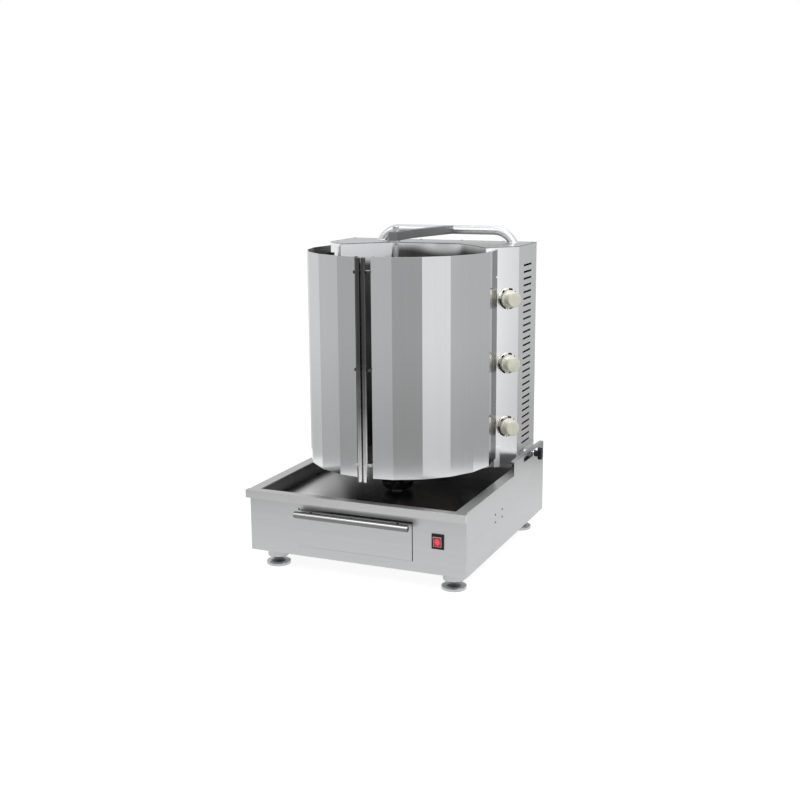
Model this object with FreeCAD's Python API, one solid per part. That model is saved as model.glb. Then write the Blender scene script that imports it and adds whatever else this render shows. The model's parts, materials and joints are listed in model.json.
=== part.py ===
"""Gas doner kebab grill: a base with a grease drawer, a sliding burner tower with two curved doors,
and a vertical spit turned from below. Sizes are millimetres, +Z is up, the front is -Y.

While it is built, Y is zero at the middle of the base. Everything is moved by ROW_SHIFT when it is
saved, so that the origin ends under the middle of the whole object, on the worktop."""
import FreeCAD, Part
import math
import os

V = FreeCAD.Vector
X_AXIS = V(1, 0, 0)
Y_AXIS = V(0, 1, 0)
Z_AXIS = V(0, 0, 1)

# Base casing
BASE_WIDTH = 485.0
BASE_DEPTH = 515.0
BASE_BOTTOM = 39.0
RIM_TOP = 173.0
SHEET = 1.5
CHEEK_TOP = 203.0
CHEEK_FRONT = 40.0
CHEEK_FLANGE = 10.0
CLAMP_SLOT_HEIGHT = 12.0
FLOOR_SLOTS = 5
FLOOR_SLOT_LENGTH = 100.0
FLOOR_SLOT_WIDTH = 5.0
FLOOR_SLOT_PITCH = 14.0
FLOOR_SLOT_FIRST = 80.0
RIB_DEPTH = 20.0

# Drip pan
LIP_OVERHANG = 13.5
LIP_SIDE_OVERHANG = 3.0
LIP_HEIGHT = 17.0
PAN_SIDE_FLANGE = 24.0
PAN_FRONT_FLANGE = 18.5
PAN_DEPTH = 35.0
PAN_BACK = 104.0
DRAIN_RADIUS = 14.0
DRAIN_Y = -175.0
SPOUT_DROP = 8.0

# Drawer
DRAWER_WIDTH = 255.0
DRAWER_BOTTOM = 61.5
DRAWER_HEIGHT = 77.0
DRAWER_GAP = 1.0
DRAWER_TOP_GAP = 4.0
DRAWER_PROUD = 2.0
DRAWER_REAR_ROOM = 19.5
TRAY_HEIGHT = 58.0
TRAY_SHEET = 1.2
TRAY_RAISE = 2.5
RUNNER_SHEET = 1.5
RUNNER_LEDGE = 12.0
RUNNER_FOOT = 18.0
HANDLE_RADIUS = 7.0
HANDLE_STANDOFF = 20.0
HANDLE_DROP = 4.5
HANDLE_POST_RADIUS = 4.0
HANDLE_POST_INSET = 30.0

# Switch
SWITCH_X = 182.6
SWITCH_Z = 108.5
BEZEL_WIDTH = 25.6
BEZEL_HEIGHT = 31.0
BEZEL_PROUD = 4.5
BEZEL_BEVEL = 2.5
BEZEL_EDGE = 2.0
POCKET_WALL = 1.2
SWITCH_BODY_DEPTH = 24.0
ROCKER_HALF_TURN = 8.0
ROCKER_PROUD = 5.0
ROCKER_DIP = 2.5
ROCKER_DEEP = 7.0
ROCKER_CLEAR = 0.6

# Cable gland
GLAND_X = -160.0
GLAND_Z = 80.0
GLAND_HOLE = 8.0
GLAND_BORE = 3.6
GLAND_FLANGE = 12.0
GLAND_PROUD = 4.0
GLAND_NUT_RADIUS = 11.0
GLAND_NUT = 8.0

# Feet
FOOT_X = 201.0
FOOT_FRONT = -216.0
FOOT_BACK = 214.0
SOCKET_RADIUS = 22.5
SOCKET_HEIGHT = 20.0
LOCKNUT_FLATS = 19.0
LOCKNUT_HEIGHT = 4.0
FOOT_RADIUS = 26.0
FOOT_RIM = 7.0
FOOT_NECK = 12.5
STUD_RADIUS = 6.0
STUD_TOP = 62.0

# Tower
TOWER_TOP = 664.0
TOWER_BOTTOM = 182.0
CHEEK_ROOM = 16.5
REAR_ROOM = 24.5
NOSE_Y = 44.0
PANEL_WIDE = 54.0
PANEL_DEEP = 63.0
RECESS_HALF = 83.5
RECESS_Y = 131.0
REAR_FLANGE = 15.0
LIP_INSIDE = 12.0
SLIDE_FORWARD = 50.0
SLIDE_BACK = 5.0
GLIDE_WIDTH = 10.0

# Louvres in the tower sides and back
LOUVRE_COUNT = 28
LOUVRE_PITCH = 14.7
LOUVRE_LENGTH = 55.0
LOUVRE_HEIGHT = 4.3
LOUVRE_FIRST_Z = 222.5
LOUVRE_SETBACK = 33.0
BACK_LOUVRES = 9
BACK_LOUVRE_PITCH = 18.0
BACK_LOUVRE_LENGTH = 120.0
BACK_LOUVRE_INSET = 20.0
BACK_LOUVRE_HEIGHT = 4.0

# Burners
BURNER_COUNT = 3
BURNER_PITCH = 140.5
BURNER_FIRST_Z = 271.5
BURNER_WIDTH = 146.0
BURNER_HEIGHT = 128.0
BURNER_DEPTH = 42.0
BURNER_FLANGE = 5.0
TILE_THICK = 13.0
TILE_RECESS = 4.0
TILE_GROOVES = 6
TILE_GROOVE = 2.0
GUARD_WIRE = 1.5
GUARD_LAP = 2.5
GUARD_LEG = 2.0
GUARD_STANDOFF = 7.0
GUARD_UPRIGHTS = 7
GUARD_RUNGS = 7

# Gas train
KNOB_SHARE = 0.67
KNOB_RADIUS = 19.0
KNOB_LENGTH = 24.0
DIAL_RADIUS = 23.3
DIAL_THICK = 3.0
SPINDLE_RADIUS = 4.0
KNOB_PUSH = 3.0
VALVE_RADIUS = 11.0
VALVE_LENGTH = 34.0
SPINDLE_POCKET = 22.0
MANIFOLD_RADIUS = 7.0
MANIFOLD_INSET = 50.0
PIPE_RADIUS = 4.0
PIPE_BORE = 3.0
PIPE_ELBOW = 28.0
PIPE_DROP_ROOM = 30.0
VENTURI_RADIUS = 11.0
VENTURI_BORE = 8.0
VENTURI_LENGTH = 14.0
INLET_X = 150.0
INLET_Z = 214.0
INLET_THREAD_RADIUS = 10.45
INLET_LENGTH = 16.0
INLET_BORE = 6.0
INLET_FLATS = 27.0
INLET_NUT = 12.0

# Doors
DOOR_RADIUS = 205.0
FACET_ANGLE = 17.0
FACETS = 5
DOOR_SHEET = 1.2
DOOR_BOTTOM = 206.0
DOOR_TOP = 660.0
SEAM_HALF = 17.5
SEAM_RETURN = 15.0
HINGE_SHARE = 0.2
HINGE_OUT = 12.0
HINGE_PIN_RADIUS = 3.0
EYE_WALL = 1.5
EYE_LENGTH = 40.0
UPPER_HINGE_Z = 604.0
BRACKET_THICK = 3.0
BRACKET_WIDTH = 13.0
BRACKET_HEIGHT = 46.0
BRACKET_LEAF = 2.0
HOOK_SHARE = 0.31
HOOK_SLOT_WIDTH = 3.0
HOOK_SLOT_HEIGHT = 24.0
HOOK_SLOT_RISE = 7.0
DOOR_ROD_RADIUS = 4.8
DOOR_ROD_X = 5.8
DOOR_ROD_OUT = 8.0
DOOR_ROD_DROP = 7.0
ROD_TAB = 6.0
ROD_TAB_INSET = 30.0

# Arch, arm and pin
TUBE_RADIUS = 10.0
ARCH_INSET = 38.0
ARCH_X = 24.0
ARCH_STRAIGHT = 230.0
ARCH_RISE = 26.0
ARCH_BEND = 50.0
ARM_WIDTH = 20.0
ARM_HEIGHT = 18.0
ARM_NOSE = 18.0
ARM_CRANK_Y = 32.0
ARM_ROOT_X = 34.0
ARM_CORNER = 3.0
PIN_STEM_RADIUS = 4.1
PIN_RADIUS = 2.5
PIN_HEAD_RADIUS = 6.5
PIN_HEAD_HEIGHT = 7.5
PIN_ENGAGE = 8.0
SLIDER_FLANGE_RADIUS = 9.0
SLIDER_FLANGE = 3.0

# Spit and drive
SPIT_Y = -36.0
SPIT_RADIUS = 5.5
SPIT_TOP = 673.0
HUB_RADIUS = 35.0
HUB_FOOT_RADIUS = 32.0
HUB_BOTTOM = 144.0
HUB_HEIGHT = 16.0
HUB_BOSS_RADIUS = 14.0
HUB_BOSS_HEIGHT = 8.0
DISC_RADIUS = 95.0
DISC_THICK = 3.0
DISC_Z = 216.0
DISC_BOSS_RADIUS = 14.0
DISC_BOSS_HEIGHT = 16.0
SHAFT_RADIUS = 10.0
COLLAR_WALL = 3.0
COLLAR_HEIGHT = 4.0
GEARBOX_SIDE = 84.0
GEARBOX_HEIGHT = 46.0
SHAFT_SEAT = 30.0
MOTOR_RADIUS = 27.0
MOTOR_LENGTH = 92.0
MOTOR_SEAT = 3.0
MOTOR_SEAT_REACH = 10.0
MOTOR_SEAT_FOOT = 20.0

# Clamp knobs
CLAMP_INSET = 55.0
CLAMP_SPARE_FRONT = 20.0
CLAMP_SPARE_BACK = 32.0
CLAMP_SHOULDER = 9.0
CLAMP_Z = 192.0
CLAMP_STUD_RADIUS = 4.0
CLAMP_STEM_RADIUS = 7.0
CLAMP_STEM_LENGTH = 12.0
CLAMP_HEAD_HEIGHT = 28.0
CLAMP_HEAD_WIDTH = 15.0
CLAMP_HEAD_THICK = 8.0

# Clearances
RUN_FIT = 0.05
REST_GAP = 0.3
FACE_GAP = 0.2

KNOB_BACK = DIAL_THICK + KNOB_PUSH + 2 * REST_GAP
HALF_W = BASE_WIDTH / 2
HALF_D = BASE_DEPTH / 2
TOWER_HALF = HALF_W - CHEEK_ROOM
TOWER_BACK = HALF_D - REAR_ROOM
NOSE_X = TOWER_HALF - PANEL_WIDE
SHOULDER_Y = NOSE_Y + PANEL_DEEP
DRAWER_DEPTH = HALF_D + SPIT_Y - GEARBOX_SIDE / 2 - DRAWER_REAR_ROOM
DRAWER_FACE = -HALF_D - DRAWER_PROUD
ARCH_Y = TOWER_BACK - ARCH_INSET
CLAMP_Y = TOWER_BACK - CLAMP_INSET
CLAMP_SLOT_FRONT = CLAMP_Y - SLIDE_FORWARD - CLAMP_SPARE_FRONT
CLAMP_SLOT_BACK = CLAMP_Y + SLIDE_BACK + CLAMP_SPARE_BACK
PAN_FLOOR = RIM_TOP - PAN_DEPTH
FRONT_REACH = HALF_D + HANDLE_STANDOFF + HANDLE_RADIUS
BACK_REACH = HALF_D + GLAND_PROUD
ROW_SHIFT = V(0, (FRONT_REACH - BACK_REACH) / 2, 0)


def box(x0, x1, y0, y1, z0, z1):
    """A block between two corners."""
    return Part.makeBox(x1 - x0, y1 - y0, z1 - z0, V(x0, y0, z0))


def rod(radius, start, end):
    """A round bar from one point to another."""
    run = end.sub(start)
    return Part.makeCylinder(radius, run.Length, start, run)


def prism(points, z0, z1):
    """A closed plan outline raised from z0 to z1."""
    corners = [V(x, y, z0) for x, y in points]
    face = Part.Face(Part.makePolygon(corners + corners[:1]))
    return face.extrude(V(0, 0, z1 - z0))


def turned(profile, centre, axis=Z_AXIS):
    """A solid turned about an axis from (radius, height) points."""
    corners = [V(r, 0, h) for r, h in profile]
    face = Part.Face(Part.makePolygon(corners + corners[:1]))
    solid = face.revolve(V(0, 0, 0), Z_AXIS, 360)
    solid.Placement = FreeCAD.Placement(centre, FreeCAD.Rotation(Z_AXIS, axis))
    return solid


def hexagon(flats, centre, height):
    """A hexagonal prism standing on Z."""
    radius = flats / math.sqrt(3)
    corners = [(centre.x + radius * math.cos(math.radians(60 * k)),
                centre.y + radius * math.sin(math.radians(60 * k))) for k in range(6)]
    return prism(corners, centre.z, centre.z + height)


def sheet_outline(path, thick):
    """The plan outline of a bent sheet whose one face follows path; the metal is on the path's left."""
    offset = []
    for i, point in enumerate(path):
        normals = []
        for a, b in ((i - 1, i), (i, i + 1)):
            if a < 0 or b >= len(path):
                continue
            dx, dy = path[b][0] - path[a][0], path[b][1] - path[a][1]
            size = math.hypot(dx, dy)
            normals.append((-dy / size, dx / size))
        nx = sum(n[0] for n in normals) / len(normals)
        ny = sum(n[1] for n in normals) / len(normals)
        reach = thick / (nx * nx + ny * ny)
        offset.append((point[0] + nx * reach, point[1] + ny * reach))
    return list(path) + offset[::-1]


def mirrored(shape):
    """The same piece on the other side of the middle plane."""
    return shape.mirror(V(0, 0, 0), X_AXIS)


def both(shape):
    """A left and a right copy."""
    return [shape, mirrored(shape)]


def join(*shapes):
    """One solid from pieces that are welded together."""
    whole = shapes[0]
    for shape in shapes[1:]:
        whole = whole.fuse(shape)
    return whole.removeSplitter()


def group(shapes):
    """Separate solids of one node."""
    return Part.makeCompound(list(shapes))


# Tower plan: nose A, shoulder B, back corner C and recess corner M, all on the right side
NOSE = (NOSE_X, NOSE_Y)
SHOULDER = (TOWER_HALF, SHOULDER_Y)
BACK_CORNER = (TOWER_HALF, TOWER_BACK)
RECESS = (RECESS_HALF, RECESS_Y)
PANEL_LENGTH = math.hypot(SHOULDER[0] - NOSE[0], SHOULDER[1] - NOSE[1])
PANEL_DIR = V((SHOULDER[0] - NOSE[0]) / PANEL_LENGTH, (SHOULDER[1] - NOSE[1]) / PANEL_LENGTH, 0)
PANEL_OUT = V(PANEL_DIR.y, -PANEL_DIR.x, 0)
BURNER_Z = [BURNER_FIRST_Z + k * BURNER_PITCH for k in range(BURNER_COUNT)]


def on_panel(share, out, z):
    """A point on the slanted control panel: share of its width, distance out of its face, height."""
    along = PANEL_DIR * (share * PANEL_LENGTH)
    return V(NOSE[0], NOSE[1], z).add(along).add(PANEL_OUT * out)


# Base

def clamp_slot():
    """The slot in the right cheek that the clamp stud slides along."""
    half = CLAMP_SLOT_HEIGHT / 2
    x0, x1 = HALF_W - 2 * SHEET, HALF_W + SHEET
    ends = [rod(half, V(x0, y, CLAMP_Z), V(x1, y, CLAMP_Z))
            for y in (CLAMP_SLOT_FRONT + half, CLAMP_SLOT_BACK - half)]
    return join(box(x0, x1, CLAMP_SLOT_FRONT + half, CLAMP_SLOT_BACK - half, CLAMP_Z - half, CLAMP_Z + half), *ends)


def base_casing():
    """Four walls of bent sheet, raised behind into two cheeks that guide the tower."""
    top = RIM_TOP - SHEET
    walls = box(-HALF_W, HALF_W, -HALF_D, HALF_D, BASE_BOTTOM, top)
    walls = walls.cut(box(-HALF_W + SHEET, HALF_W - SHEET, -HALF_D + SHEET, HALF_D - SHEET, 0, TOWER_TOP))
    cheek = box(HALF_W - SHEET, HALF_W, CHEEK_FRONT, HALF_D, top, CHEEK_TOP)
    flange = prism([(HALF_W - SHEET, CHEEK_FRONT), (HALF_W - SHEET, HALF_D),
                    (HALF_W - CHEEK_FLANGE, HALF_D), (HALF_W - CHEEK_FLANGE, CHEEK_FRONT + CHEEK_FLANGE / 2)],
                   CHEEK_TOP - SHEET, CHEEK_TOP)
    cheek = join(cheek, flange).cut(clamp_slot())
    casing = join(walls, *both(cheek))
    mouth = DRAWER_WIDTH / 2 + DRAWER_GAP
    casing = casing.cut(box(-mouth, mouth, -HALF_D - SHEET, -HALF_D + 2 * SHEET, DRAWER_BOTTOM - DRAWER_GAP,
                            DRAWER_BOTTOM + DRAWER_HEIGHT + DRAWER_TOP_GAP))
    casing = casing.cut(switch_body_block(FACE_GAP, 2 * SHEET))
    return casing.cut(rod(GLAND_HOLE, V(GLAND_X, HALF_D - 2 * SHEET, GLAND_Z), V(GLAND_X, HALF_D + SHEET, GLAND_Z)))


def foot_centres():
    return [V(x, y, 0) for y in (FOOT_FRONT, FOOT_BACK) for x in (-FOOT_X, FOOT_X)]


def base_floor():
    """The bottom plate, with cooling slots under the motor and clear holes for the foot studs."""
    plate = box(-HALF_W + SHEET, HALF_W - SHEET, -HALF_D + SHEET, HALF_D - SHEET, BASE_BOTTOM, BASE_BOTTOM + SHEET)
    for centre in foot_centres():
        plate = plate.cut(rod(STUD_RADIUS + 1, centre, centre.add(V(0, 0, BASE_BOTTOM + 2 * SHEET))))
    half = FLOOR_SLOT_LENGTH / 2
    for k in range(FLOOR_SLOTS):
        y = FLOOR_SLOT_FIRST + FLOOR_SLOT_PITCH * k
        plate = plate.cut(box(-half, half, y, y + FLOOR_SLOT_WIDTH, 0, BASE_BOTTOM + 2 * SHEET))
    return plate


def drip_pan():
    """One pressed tray: a rim that laps the casing, a front lip and a well that drains into the drawer."""
    front = -HALF_D - LIP_OVERHANG
    under = RIM_TOP - SHEET
    well_x = HALF_W - PAN_SIDE_FLANGE
    well_front = front + PAN_FRONT_FLANGE
    rim = box(-HALF_W, HALF_W, front, CHEEK_FRONT, under, RIM_TOP)
    rim = join(rim, box(-HALF_W + SHEET, HALF_W - SHEET, CHEEK_FRONT, PAN_BACK + SHEET, under, RIM_TOP))
    lip_x = HALF_W + LIP_SIDE_OVERHANG
    lip = box(-lip_x, lip_x, front, -HALF_D, RIM_TOP - LIP_HEIGHT, RIM_TOP)
    lip = lip.cut(box(-lip_x + SHEET, lip_x - SHEET, front + SHEET, -HALF_D, 0, under))
    well = box(-well_x - SHEET, well_x + SHEET, well_front - SHEET, PAN_BACK + SHEET, PAN_FLOOR - SHEET, RIM_TOP)
    pan = join(rim, lip, well).cut(box(-well_x, well_x, well_front, PAN_BACK, PAN_FLOOR, RIM_TOP + SHEET))
    spout = rod(DRAIN_RADIUS + SHEET, V(0, DRAIN_Y, PAN_FLOOR - SPOUT_DROP), V(0, DRAIN_Y, PAN_FLOOR))
    hub = V(0, SPIT_Y, PAN_FLOOR - SHEET)
    collar = rod(SHAFT_RADIUS + COLLAR_WALL + 1, hub, hub.add(V(0, 0, SHEET + COLLAR_HEIGHT)))
    pan = join(pan, spout, collar)
    pan = pan.cut(rod(DRAIN_RADIUS, V(0, DRAIN_Y, 0), V(0, DRAIN_Y, RIM_TOP)))
    return pan.cut(rod(SHAFT_RADIUS + COLLAR_WALL, V(0, SPIT_Y, 0), V(0, SPIT_Y, RIM_TOP)))


def rear_deck():
    """The plate behind the pan that the tower slides on, with two folded stiffening ribs."""
    plate = box(-HALF_W + SHEET, HALF_W - SHEET, PAN_BACK + SHEET, HALF_D, RIM_TOP - SHEET, RIM_TOP)
    rib = box(HALF_W / 2, HALF_W / 2 + SHEET, PAN_BACK + SHEET, HALF_D - SHEET, RIM_TOP - RIB_DEPTH, RIM_TOP - SHEET)
    return join(plate, *both(rib))


def foot_sockets():
    """Round cups under the floor, each with a threaded hole for its foot."""
    cups = []
    for centre in foot_centres():
        base = centre.add(V(0, 0, BASE_BOTTOM - SOCKET_HEIGHT))
        cup = Part.makeCylinder(SOCKET_RADIUS, SOCKET_HEIGHT, base)
        cup = cup.makeFillet(2.5, [edge for edge in cup.Edges if edge.BoundBox.ZMax < base.z + 1])
        boss = Part.makeCylinder(STUD_RADIUS + 1, SOCKET_HEIGHT + SHEET, base)
        cup = join(cup, boss)
        cups.append(cup.cut(Part.makeCylinder(STUD_RADIUS + RUN_FIT, 3 * SOCKET_HEIGHT, base)))
    return group(cups)


def foot_locknuts():
    nuts = []
    for centre in foot_centres():
        base = centre.add(V(0, 0, BASE_BOTTOM - SOCKET_HEIGHT - LOCKNUT_HEIGHT))
        nut = hexagon(LOCKNUT_FLATS, base, LOCKNUT_HEIGHT)
        nuts.append(nut.cut(Part.makeCylinder(STUD_RADIUS + RUN_FIT, LOCKNUT_HEIGHT, base)))
    return group(nuts)


def levelling_foot(centre):
    """A domed disc on a stud that screws up into its socket."""
    top = BASE_BOTTOM - SOCKET_HEIGHT - LOCKNUT_HEIGHT - REST_GAP
    neck = top - 2
    dome = Part.Arc(V(FOOT_RADIUS, 0, FOOT_RIM), V((FOOT_RADIUS + FOOT_NECK) / 2 + 1, 0, (FOOT_RIM + neck) / 2 + 1),
                    V(FOOT_NECK, 0, neck)).toShape()
    below = [V(0, 0, 0), V(FOOT_RADIUS - 1.5, 0, 0), V(FOOT_RADIUS, 0, 1.5), V(FOOT_RADIUS, 0, FOOT_RIM)]
    above = [V(FOOT_NECK, 0, neck), V(FOOT_NECK - 1.5, 0, top), V(STUD_RADIUS, 0, top), V(STUD_RADIUS, 0, STUD_TOP - 1),
             V(STUD_RADIUS - 1, 0, STUD_TOP), V(0, 0, STUD_TOP), V(0, 0, 0)]
    edges = [Part.makeLine(a, b) for a, b in zip(below, below[1:])]
    edges.append(dome)
    edges += [Part.makeLine(a, b) for a, b in zip(above, above[1:])]
    foot = Part.Face(Part.Wire(edges)).revolve(V(0, 0, 0), Z_AXIS, 360)
    foot.translate(centre)
    return foot


# Drawer

TRAY_HALF = DRAWER_WIDTH / 2 - 4
TRAY_BOTTOM = DRAWER_BOTTOM + TRAY_RAISE


def drawer_front():
    return box(-DRAWER_WIDTH / 2, DRAWER_WIDTH / 2, DRAWER_FACE, DRAWER_FACE + SHEET, DRAWER_BOTTOM,
               DRAWER_BOTTOM + DRAWER_HEIGHT)


def drawer_tray():
    """An open folded tray that catches the grease."""
    y0 = DRAWER_FACE + SHEET
    tray = box(-TRAY_HALF, TRAY_HALF, y0, y0 + DRAWER_DEPTH, TRAY_BOTTOM, TRAY_BOTTOM + TRAY_HEIGHT)
    return tray.cut(box(-TRAY_HALF + TRAY_SHEET, TRAY_HALF - TRAY_SHEET, y0 + TRAY_SHEET,
                        y0 + DRAWER_DEPTH - TRAY_SHEET, TRAY_BOTTOM + TRAY_SHEET, RIM_TOP))


def drawer_handle():
    """A round bar with rounded ends on two posts."""
    y = -HALF_D - HANDLE_STANDOFF
    z = DRAWER_BOTTOM + DRAWER_HEIGHT - HANDLE_DROP
    half = DRAWER_WIDTH / 2
    bar = rod(HANDLE_RADIUS, V(-half, y, z), V(half, y, z))
    bar = bar.makeFillet(2.5, [edge for edge in bar.Edges if edge.BoundBox.XLength < 0.1])
    post = rod(HANDLE_POST_RADIUS, V(half - HANDLE_POST_INSET, y, z), V(half - HANDLE_POST_INSET, DRAWER_FACE, z))
    return join(bar, *both(post))


def drawer_runners():
    """Folded angles that stand on the floor, carry the tray and guide its sides."""
    floor = BASE_BOTTOM + SHEET
    y0, y1 = -HALF_D + SHEET + 1, -HALF_D + SHEET + DRAWER_DEPTH
    web_x = TRAY_HALF + REST_GAP
    ledge = TRAY_BOTTOM - REST_GAP
    web = box(web_x, web_x + RUNNER_SHEET, y0, y1, floor, TRAY_BOTTOM + 16)
    shelf = box(web_x - RUNNER_LEDGE, web_x, y0, y1, ledge - RUNNER_SHEET, ledge)
    foot = box(web_x, web_x + RUNNER_FOOT, y0, y1, floor, floor + RUNNER_SHEET)
    return group(both(join(web, shelf, foot)))


# Switch

def switch_body_block(grow, back):
    """The part of the switch that goes through the panel, grown by a clearance."""
    half_w = BEZEL_WIDTH / 2 - BEZEL_EDGE + grow
    half_h = BEZEL_HEIGHT / 2 - BEZEL_EDGE + grow
    return box(SWITCH_X - half_w, SWITCH_X + half_w, -HALF_D - SHEET, -HALF_D + back,
               SWITCH_Z - half_h, SWITCH_Z + half_h)


def rocker_half_height():
    return BEZEL_HEIGHT / 2 - BEZEL_EDGE - 1.5 - ROCKER_CLEAR


def switch_body():
    """A snap-in frame with a pocket for the rocker and two terminals behind."""
    bezel = box(SWITCH_X - BEZEL_WIDTH / 2, SWITCH_X + BEZEL_WIDTH / 2, -HALF_D - BEZEL_PROUD, -HALF_D,
                SWITCH_Z - BEZEL_HEIGHT / 2, SWITCH_Z + BEZEL_HEIGHT / 2)
    bezel = bezel.makeChamfer(BEZEL_BEVEL, [e for e in bezel.Edges if e.BoundBox.YMax < -HALF_D - BEZEL_PROUD + 0.1])
    body = join(bezel, switch_body_block(0, SWITCH_BODY_DEPTH))
    half_w = BEZEL_WIDTH / 2 - BEZEL_EDGE - POCKET_WALL
    half_h = rocker_half_height() + ROCKER_CLEAR
    deep = ROCKER_DEEP + 4
    body = body.cut(box(SWITCH_X - half_w, SWITCH_X + half_w, -HALF_D - 2 * BEZEL_PROUD, -HALF_D + deep,
                        SWITCH_Z - half_h, SWITCH_Z + half_h))
    y = -HALF_D + SWITCH_BODY_DEPTH
    for dz in (-7, 7):
        body = join(body, box(SWITCH_X - 3, SWITCH_X + 3, y - 1, y + 8, SWITCH_Z + dz - 0.4, SWITCH_Z + dz + 0.4))
    return body


def switch_rocker():
    """A see-saw key, pressed in at its lower end at rest."""
    half_w = BEZEL_WIDTH / 2 - BEZEL_EDGE - POCKET_WALL - ROCKER_CLEAR
    half_h = rocker_half_height()
    profile = [(-ROCKER_PROUD, half_h - 1.5), (-ROCKER_DIP, 0), (-ROCKER_PROUD, -half_h + 1.5),
               (-ROCKER_PROUD + 1.5, -half_h + 0.4), (2, -half_h + 1), (ROCKER_DEEP, -4), (ROCKER_DEEP, 4),
               (2, half_h - 1), (-ROCKER_PROUD + 1.5, half_h - 0.4)]
    corners = [V(SWITCH_X - half_w, y, z) for y, z in profile]
    key = Part.Face(Part.makePolygon(corners + corners[:1])).extrude(V(2 * half_w, 0, 0))
    key.rotate(V(SWITCH_X, 0, 0), X_AXIS, ROCKER_HALF_TURN)
    key.translate(V(0, -HALF_D, SWITCH_Z))
    return key


# Drive

GEARBOX_TOP = PAN_FLOOR - SHEET - 6


def spit_motor():
    """The gearbox's motor, lying behind it."""
    y0 = SPIT_Y + GEARBOX_SIDE / 2
    z = GEARBOX_TOP - GEARBOX_HEIGHT / 2
    can = rod(MOTOR_RADIUS, V(0, y0, z), V(0, y0 + MOTOR_LENGTH, z))
    cap = rod(MOTOR_RADIUS - 6, V(0, y0 + MOTOR_LENGTH, z), V(0, y0 + MOTOR_LENGTH + 8, z))
    return join(can, cap)


def spit_gearbox():
    """The gear case, with the shaft hole in its lid."""
    half = GEARBOX_SIDE / 2
    case = box(-half, half, SPIT_Y - half, SPIT_Y + half, GEARBOX_TOP - GEARBOX_HEIGHT, GEARBOX_TOP)
    case = case.makeFillet(6, [edge for edge in case.Edges if edge.BoundBox.ZLength > GEARBOX_HEIGHT - 1])
    return case.cut(rod(SHAFT_RADIUS + RUN_FIT, V(0, SPIT_Y, GEARBOX_TOP - SHAFT_SEAT), V(0, SPIT_Y, RIM_TOP)))


def motor_bracket():
    """A bridge folded from thick sheet: it stands on the floor and carries the gearbox."""
    seat = GEARBOX_TOP - GEARBOX_HEIGHT
    floor = BASE_BOTTOM + SHEET
    half = GEARBOX_SIDE / 2
    y0, y1 = SPIT_Y - half, SPIT_Y + half
    outer = half + MOTOR_SEAT_REACH
    inner = outer - MOTOR_SEAT
    bridge = box(-outer, outer, y0, y1, seat - MOTOR_SEAT, seat)
    leg = box(inner, outer, y0, y1, floor, seat)
    foot = box(inner, inner + MOTOR_SEAT_FOOT, y0, y1, floor, floor + MOTOR_SEAT)
    return join(bridge, *both(leg), *both(foot))


def spit_bearing():
    """A flanged bush in the pan collar, standing on the gearbox."""
    centre = V(0, SPIT_Y, 0)
    inner, outer = SHAFT_RADIUS + RUN_FIT, SHAFT_RADIUS + COLLAR_WALL
    return turned([(inner, GEARBOX_TOP), (outer + 8, GEARBOX_TOP), (outer + 8, GEARBOX_TOP + 4), (outer, GEARBOX_TOP + 4),
                   (outer, PAN_FLOOR + COLLAR_HEIGHT - 1), (inner, PAN_FLOOR + COLLAR_HEIGHT - 1)], centre)


def drive_hub():
    """The drive disc on top of the gearbox shaft; the spit stands in its boss."""
    top = HUB_BOTTOM + HUB_HEIGHT
    cup = turned([(0, HUB_BOTTOM), (HUB_FOOT_RADIUS - 4, HUB_BOTTOM), (HUB_FOOT_RADIUS, HUB_BOTTOM + 3),
                  (HUB_RADIUS, top - 2), (HUB_RADIUS - 2, top), (HUB_BOSS_RADIUS, top + 2),
                  (HUB_BOSS_RADIUS, top + HUB_BOSS_HEIGHT), (0, top + HUB_BOSS_HEIGHT)], V(0, SPIT_Y, 0))
    shaft = rod(SHAFT_RADIUS, V(0, SPIT_Y, GEARBOX_TOP - SHAFT_SEAT + REST_GAP), V(0, SPIT_Y, HUB_BOTTOM + 1))
    hole = rod(SPIT_RADIUS + RUN_FIT, V(0, SPIT_Y, HUB_BOTTOM + 2), V(0, SPIT_Y, top + 2 * HUB_BOSS_HEIGHT))
    return join(cup, shaft).cut(hole)


def spit_bar():
    """The round spit, with a point of entry for the centring pin in its top."""
    bar = rod(SPIT_RADIUS, V(0, SPIT_Y, HUB_BOTTOM + 2), V(0, SPIT_Y, SPIT_TOP))
    bar = bar.makeChamfer(1.2, [edge for edge in bar.Edges if edge.BoundBox.ZMin > SPIT_TOP - 1])
    return bar.cut(rod(PIN_RADIUS + REST_GAP, V(0, SPIT_Y, SPIT_TOP - PIN_ENGAGE - 1), V(0, SPIT_Y, SPIT_TOP + 1)))


def meat_disc():
    """The plate that the meat stands on, with a clamping boss below."""
    inner = SPIT_RADIUS + RUN_FIT
    low = DISC_Z - DISC_BOSS_HEIGHT
    return turned([(inner, low), (DISC_BOSS_RADIUS, low), (DISC_BOSS_RADIUS, DISC_Z), (DISC_RADIUS, DISC_Z),
                   (DISC_RADIUS, DISC_Z + DISC_THICK), (inner, DISC_Z + DISC_THICK)], V(0, SPIT_Y, 0))


# Tower shell

def side_panel():
    """Right side: slanted front, louvred side and a rear flange, folded from one sheet."""
    path = [NOSE, SHOULDER, BACK_CORNER, (TOWER_HALF - REAR_FLANGE, TOWER_BACK)]
    return prism(sheet_outline(path, SHEET), TOWER_BOTTOM, TOWER_TOP - SHEET)


def side_louvres():
    y0 = SHOULDER_Y + LOUVRE_SETBACK
    slots = []
    for k in range(LOUVRE_COUNT):
        z = LOUVRE_FIRST_Z + k * LOUVRE_PITCH
        slots.append(box(TOWER_HALF - 2 * SHEET, TOWER_HALF + SHEET, y0, y0 + LOUVRE_LENGTH,
                         z - LOUVRE_HEIGHT / 2, z + LOUVRE_HEIGHT / 2))
    return slots


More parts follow.
